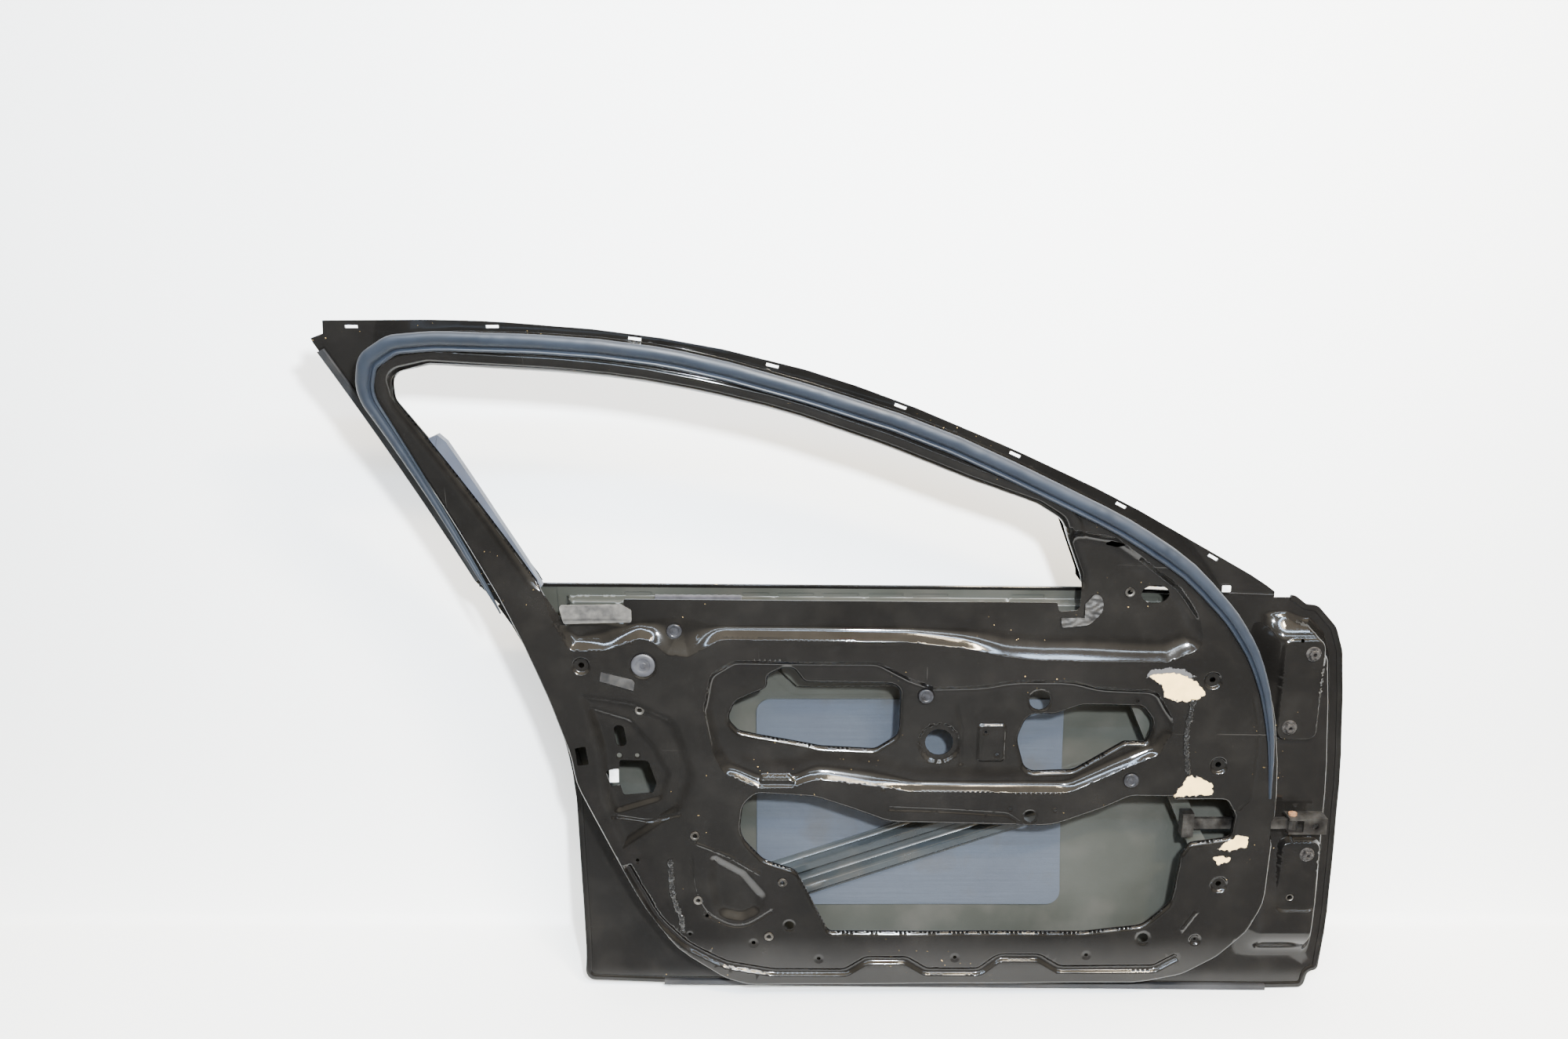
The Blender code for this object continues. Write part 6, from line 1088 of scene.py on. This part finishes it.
def build_strips(settings, look):
    """Foam, tapes and brushed sealant that stay on the panel.

    Each strip is a name, outline, node, slot, thickness, gap to the panel, fold depth, fold scale and mesh step.
    """
    table = [("foam_block", REAR_FOAM_SHARES, "belt_foam_rear", "foam", 0.0040, 0.0009, 0.0013, 230, 0.0030),
             ("torn_tape", FRONT_TAPE_SHARES, "belt_tape_front", "tape", 0.0012, 0.0009, 0.0022, 330, 0.0025),
             ("bare_tape", TAPE_STRIP_SHARES, "tape_strip", "tape", 0.0012, 0.0005, 0.0004, 210, 0.0040)]
    for name, shares, stands_for, slot, thickness, gap, depth, scale, step in table:
        def height(points, seat=gap, fold=depth, pitch=scale):
            return panel_height(points) - PANEL_THICKNESS - seat - crumple(points, fold, pitch)
        piece = sheet(name, resample(rounded(shares), step), [], height, thickness, step, [look[slot]])
        settle(piece, "shell", slot, stands_for)
    angle = np.linspace(0, math.pi, 9)
    section = [(-4.6 * math.cos(a), 2.9 * math.sin(a)) for a in angle]
    for name, shares in SEALANT_SHARES.items():
        path = resample(rounded(shares, closed=False), 0.0015, False)
        wander = 0.0008 * np.sin(np.arange(len(path)) * 0.9) * np.sin(np.arange(len(path)) * 0.23)
        path = path + side_normals(path, closed=False) * wander[:, None]
        widths = 0.8 + 0.25 * np.sin(np.arange(len(path)) * 0.55) * np.sin(np.arange(len(path)) * 0.17 + 1)
        bead = sweep("brushed_" + name, path, section, lambda p: panel_height(p) - 0.0018, [look["sealant"]],
                     widths, 0.3)
        settle(bead, "shell", "sealant", name)


def panel_level(share):
    """Height of the panel at one place."""
    return float(panel_height(place(share)[None])[0])


def build_fasteners(settings, look):
    """Plugs, rivet nuts, hinge nuts and bolt heads, turned finely, and two white trim clips."""
    for name, (share, radius, stem) in PLUG_SHARES.items():
        x, z = place(share)
        rim = circle(share, radius * MILLIMETRE, 28)
        face = float(np.min(panel_height(rim))) - FASTENER_SEAT
        hub = radius * 0.56
        profile = [
            (0.01, -6.0), (stem * 0.8, -6.0), (stem, -3.5), (stem, 0), (radius - 0.3, 0), (radius, 0.4),
            (radius - 0.2, 1.2), (radius * 0.93, 2.0), (radius * 0.86, 2.25), (radius * 0.70, 2.2), (hub + 0.6, 1.9),
            (hub, 1.1), (hub - 0.8, 0.9), (hub * 0.45, 0.95), (hub * 0.38, 1.5), (hub * 0.1, 1.6), (0.01, 1.6)]
        plastic = look["plug_plastic" if name == "access_plug" else "grommet_plastic"]
        plug = turned_piece(name + "_turned", profile, (x, face, z), (0, -1, 0), plastic)
        settle(plug, "shell", "plug_plastic", name)
    for name, spot, length, height, lift in CLIPS:
        loop = box_loop(place(spot), length * MILLIMETRE, height * MILLIMETRE, 0.0015)
        level = panel_level(spot) - lift
        clip = sheet(name, resample(loop, 0.002), [], lambda p, level=level: np.full(len(p), level), 0.0018, 0.003,
                     [look["white_clip"]])
        settle(clip, "shell", "plug_plastic")
    for i, share in enumerate(RIVET_NUT_SHARES):
        x, z = place(share)
        face = panel_level(share) - FASTENER_SEAT
        profile = [(3.2, -9), (4.5, -9), (4.5, 0), (6.6, 0), (6.8, 0.25), (6.7, 0.9), (6.3, 1.35), (3.9, 1.4),
                   (3.4, 1.1), (3.2, 0.5)]
        nut = turned_piece(f"rivet_nut_turned_{i + 1}", profile, (x, face, z), (0, -1, 0), look["zinc_steel"])
        settle(nut, "shell", "zinc_steel", f"rivet_nut_{i + 1}")
    for name, (_, _, level, bolts) in zip(("upper", "lower"), HINGE_PADS):
        for end, bolt in zip(("top", "foot"), bolts):
            x, z = place(bolt)
            profile = [(4.0, 0.4), (4.5, 0), (5.2, 0), (5.24, 5.2), (9.2, 5.2), (9.5, 5.6), (9.5, 10.6), (9.0, 11.2),
                       (4.4, 11.2), (4.0, 10.8)]
            seat = (x, (level - 1.1) * MILLIMETRE, z)
            nut = turned_piece(f"hinge_nut_turned_{name}_{end}", profile, seat, (0, 1, 0), look["zinc_steel"])
            settle(nut, "shell", "zinc_steel", f"hinge_nut_{name}_{end}")
            if (name, end) != ("lower", "foot"):
                washer = [(2.6, 0), (10.6, 0), (10.9, 0.4), (10.2, 1.3), (7.4, 2.0), (2.6, 2.0)]
                hexagon = [(2.6, 1.6), (7.6, 1.6), (7.6, 5.6), (6.5, 6.6), (3.4, 6.7), (2.6, 5.9)]
                seat = (x, (level - 1.4) * MILLIMETRE, z)
                head = turned_piece(f"hinge_bolt_{name}_{end}", washer, seat, (0, -1, 0), look["bolt_steel"],
                                    (hexagon, 6))
                settle(head, "shell", "zinc_steel")


def dress_frame_nodes(settings, look):
    """Gives every CAD node that stays visible the finish of its material slot."""
    for row in frame["record"]["subparts"]:
        piece = frame["nodes"].get(row["node"])
        if piece is None or piece.hide_render:
            continue
        name = {"grey_green_primer": "primer"}.get(row["material_slot"], row["material_slot"])
        for slot in piece.material_slots:
            slot.material = look[name]


def area_light(name, place_at, aim, size, power, colour):
    """A soft rectangular lamp that looks at a point."""
    lamp = bpy.data.lights.new(name, "AREA")
    lamp.shape = "RECTANGLE"
    lamp.size, lamp.size_y = size
    lamp.energy = power
    lamp.color = colour
    thing = bpy.data.objects.new(name, lamp)
    thing.location = place_at
    thing.rotation_euler = (Vector(aim) - Vector(place_at)).to_track_quat("-Z", "Y").to_euler()
    bpy.context.scene.collection.objects.link(thing)


def build_stage(settings, look):
    """Pale floor and wall that show only from the front, with painted shade on the floor towards the camera, soft
    lamps, and the camera at the photograph's place.
    """
    floor_level = CAD_BOX[0][2] - FLOOR_GAP
    profile = [(-6.0, floor_level), (-3.0, floor_level)]
    cove_y, cove_z = WALL_Y - COVE_RADIUS, floor_level + COVE_RADIUS
    profile += [(cove_y + COVE_RADIUS * math.sin(a), cove_z - COVE_RADIUS * math.cos(a))
                for a in np.linspace(0, math.pi / 2, 8)]
    profile = np.array(profile + [(WALL_Y, 4.0)])
    across = np.array([-6.0, 5.0])
    vertices = np.stack([np.repeat(across, len(profile)), np.tile(profile[:, 0], 2), np.tile(profile[:, 1], 2)], axis=1)
    grid = np.arange(len(vertices)).reshape(2, -1)
    quads = np.stack([grid[0, :-1], grid[1, :-1], grid[1, 1:], grid[0, 1:]], axis=1)
    made, tree, shader, spot = surface("stage_plaster")
    depth = node(tree, "ShaderNodeSeparateXYZ", {0: spot}).outputs[1]
    pale = blend(tree, ramp(tree, noise(tree, spot, 0.8), 0.35, 0.68), (*[c * 0.96 for c in settings.floor_colour], 1),
                 (*settings.floor_colour, 1))
    # Painted shade: the floor turns dark towards the camera, out of its view, so that the paint's lower flats reflect
    # shade
    colour = blend(tree, ramp(tree, depth, -0.134, -0.22), pale, NEAR_FLOOR_SHADE_COLOUR)
    wire(tree, shader, Roughness=0.7, Base_Color=colour)
    behind = node(tree, "ShaderNodeNewGeometry").outputs["Backfacing"]
    clear = node(tree, "ShaderNodeBsdfTransparent").outputs[0]
    one_sided = node(tree, "ShaderNodeMixShader", {0: behind, 1: shader.outputs[0], 2: clear}).outputs[0]
    tree.links.new(one_sided, tree.nodes["Material Output"].inputs["Surface"])
    add_mesh("floor_and_wall", vertices - DRAWING_ORIGIN, [quads], [made])
    camera = bpy.data.objects.new("camera", bpy.data.cameras.new("camera"))
    camera.data.lens = CAMERA_LENS
    camera.data.sensor_width = SENSOR_WIDTH
    camera.location = CAMERA_PLACE
    camera.rotation_euler = (math.radians(CAMERA_TILT), 0, 0)
    bpy.context.scene.collection.objects.link(camera)
    bpy.context.scene.camera = camera
    for name, place_at, aim, size, power, colour in LAMPS:
        area_light(name, place_at, aim, size, power * settings.light_strength, colour)
    world = bpy.data.worlds.new("soft_room")
    world.use_nodes = True
    tree = world.node_tree
    way = node(tree, "ShaderNodeSeparateXYZ", {0: node(tree, "ShaderNodeTexCoord").outputs["Generated"]}).outputs
    level = ramp(tree, way[2], 0.05, 0.26, 0.16, 2.7)
    aside = ramp(tree, reckon(tree, "ABSOLUTE", way[0], 0.0), 0.08, 0.45, 1.0, 0.55)
    room = tree.nodes["Background"]
    room.inputs[0].default_value = (1.0, 0.87, 0.66, 1)
    tree.links.new(reckon(tree, "MULTIPLY", level, aside), room.inputs[1])
    bpy.context.scene.world = world


def colour_property(name, description, default):
    """A linear colour that a user can change."""
    return bpy.props.FloatVectorProperty(name=name, description=description, subtype="COLOR", size=3, min=0, max=1,
                                         default=default)


class DoorShellSettings(bpy.types.PropertyGroup):
    """Sizes, colours and light that a user would change."""
    mesh_step: bpy.props.FloatProperty(
        name="Mesh Step", description="Spacing of the points on the flats of the inner panel", default=0.0072,
        min=0.004, max=0.03, subtype="DISTANCE", unit="LENGTH")
    paint_colour: colour_property("Paint", "Colour of the gloss paint", (0.0036, 0.0033, 0.0030))
    paint_gloss: bpy.props.FloatProperty(
        name="Paint Roughness", description="Roughness of clean paint", default=0.085, min=0.02, max=1,
        subtype="FACTOR")
    dust: bpy.props.FloatProperty(
        name="Dust", description="Share of dust on faces that look up", default=0.03, min=0, max=1, subtype="FACTOR")
    filler_colour: colour_property("Filler", "Colour under the paint where it has come off", (0.82, 0.56, 0.22))
    primer_colour: colour_property("Primer", "Colour inside the skin", (0.0245, 0.0255, 0.0210))
    rubber_colour: colour_property("Rubber", "Colour of the weather seal", (0.0100, 0.0140, 0.0215))
    foil_colour: colour_property("Foil", "Colour of the damping pad's foil", (0.072, 0.083, 0.102))
    floor_colour: colour_property("Floor", "Colour of the floor and the wall", (0.86, 0.86, 0.85))
    light_strength: bpy.props.FloatProperty(
        name="Light", description="Strength of all the lamps together", default=1.0, min=0, max=10)


class BuildStep:
    """What every step shares: it takes the settings and finishes, and raises an error if it can't finish."""
    bl_options = {"REGISTER", "UNDO"}
    build = None

    def execute(self, context):
        settings = context.scene.door_shell
        type(self).build(settings, looks(settings))
        return {"FINISHED"}


class DOORSHELL_OT_inner_panel(BuildStep, bpy.types.Operator):
    """Build the pressed inner panel"""
    bl_idname = "door_shell.inner_panel"
    bl_label = "Inner Panel"
    build = build_inner_panel


class DOORSHELL_OT_outer_shell(BuildStep, bpy.types.Operator):
    """Build the outer skin, its hem and the outer window hoop"""
    bl_idname = "door_shell.outer_shell"
    bl_label = "Outer Skin and Hoop"
    build = build_outer_shell


class DOORSHELL_OT_inside(BuildStep, bpy.types.Operator):
    """Build the belt rail, impact beam and damping pad"""
    bl_idname = "door_shell.inside"
    bl_label = "Rail, Beam and Pad"
    build = build_inside


class DOORSHELL_OT_seals(BuildStep, bpy.types.Operator):
    """Build the weather seal and the rear glass run"""
    bl_idname = "door_shell.seals"
    bl_label = "Seals"
    build = build_seals


class DOORSHELL_OT_strips(BuildStep, bpy.types.Operator):
    """Build the foam, tapes and sealant"""
    bl_idname = "door_shell.strips"
    bl_label = "Foam, Tape and Sealant"
    build = build_strips


class DOORSHELL_OT_fasteners(BuildStep, bpy.types.Operator):
    """Build the plugs, nuts, bolt heads and trim clips"""
    bl_idname = "door_shell.fasteners"
    bl_label = "Plugs, Nuts and Clips"
    build = build_fasteners


class DOORSHELL_OT_finishes(BuildStep, bpy.types.Operator):
    """Give the CAD nodes that stay visible their finishes"""
    bl_idname = "door_shell.finishes"
    bl_label = "Finishes of the CAD Nodes"
    build = dress_frame_nodes


class DOORSHELL_OT_stage(BuildStep, bpy.types.Operator):
    """Build the floor, wall, lamps and camera"""
    bl_idname = "door_shell.stage"
    bl_label = "Stage"
    build = build_stage


STEPS = (DOORSHELL_OT_inner_panel, DOORSHELL_OT_outer_shell, DOORSHELL_OT_inside, DOORSHELL_OT_seals,
         DOORSHELL_OT_strips, DOORSHELL_OT_fasteners, DOORSHELL_OT_finishes, DOORSHELL_OT_stage)


class DOORSHELL_PT_sidebar(bpy.types.Panel):
    """Settings and build steps of the door shell"""
    bl_label = "Door Shell"
    bl_idname = "DOORSHELL_PT_sidebar"
    bl_space_type = "VIEW_3D"
    bl_region_type = "UI"
    bl_category = "Door Shell"

    def draw(self, context):
        for name in DoorShellSettings.__annotations__:
            self.layout.prop(context.scene.door_shell, name)
        for step in STEPS:
            self.layout.operator(step.bl_idname)


CLASSES = (DoorShellSettings, *STEPS, DOORSHELL_PT_sidebar)


def register():
    for made in CLASSES:
        bpy.utils.register_class(made)
    bpy.types.Scene.door_shell = bpy.props.PointerProperty(type=DoorShellSettings)


def unregister():
    del bpy.types.Scene.door_shell
    for made in reversed(CLASSES):
        bpy.utils.unregister_class(made)


def main():
    register()
    bpy.ops.door_shell.inner_panel()
    bpy.ops.door_shell.outer_shell()
    bpy.ops.door_shell.inside()
    bpy.ops.door_shell.seals()
    bpy.ops.door_shell.strips()
    bpy.ops.door_shell.fasteners()
    bpy.ops.door_shell.finishes()
    bpy.ops.door_shell.stage()


if __name__ == "__main__":
    main()
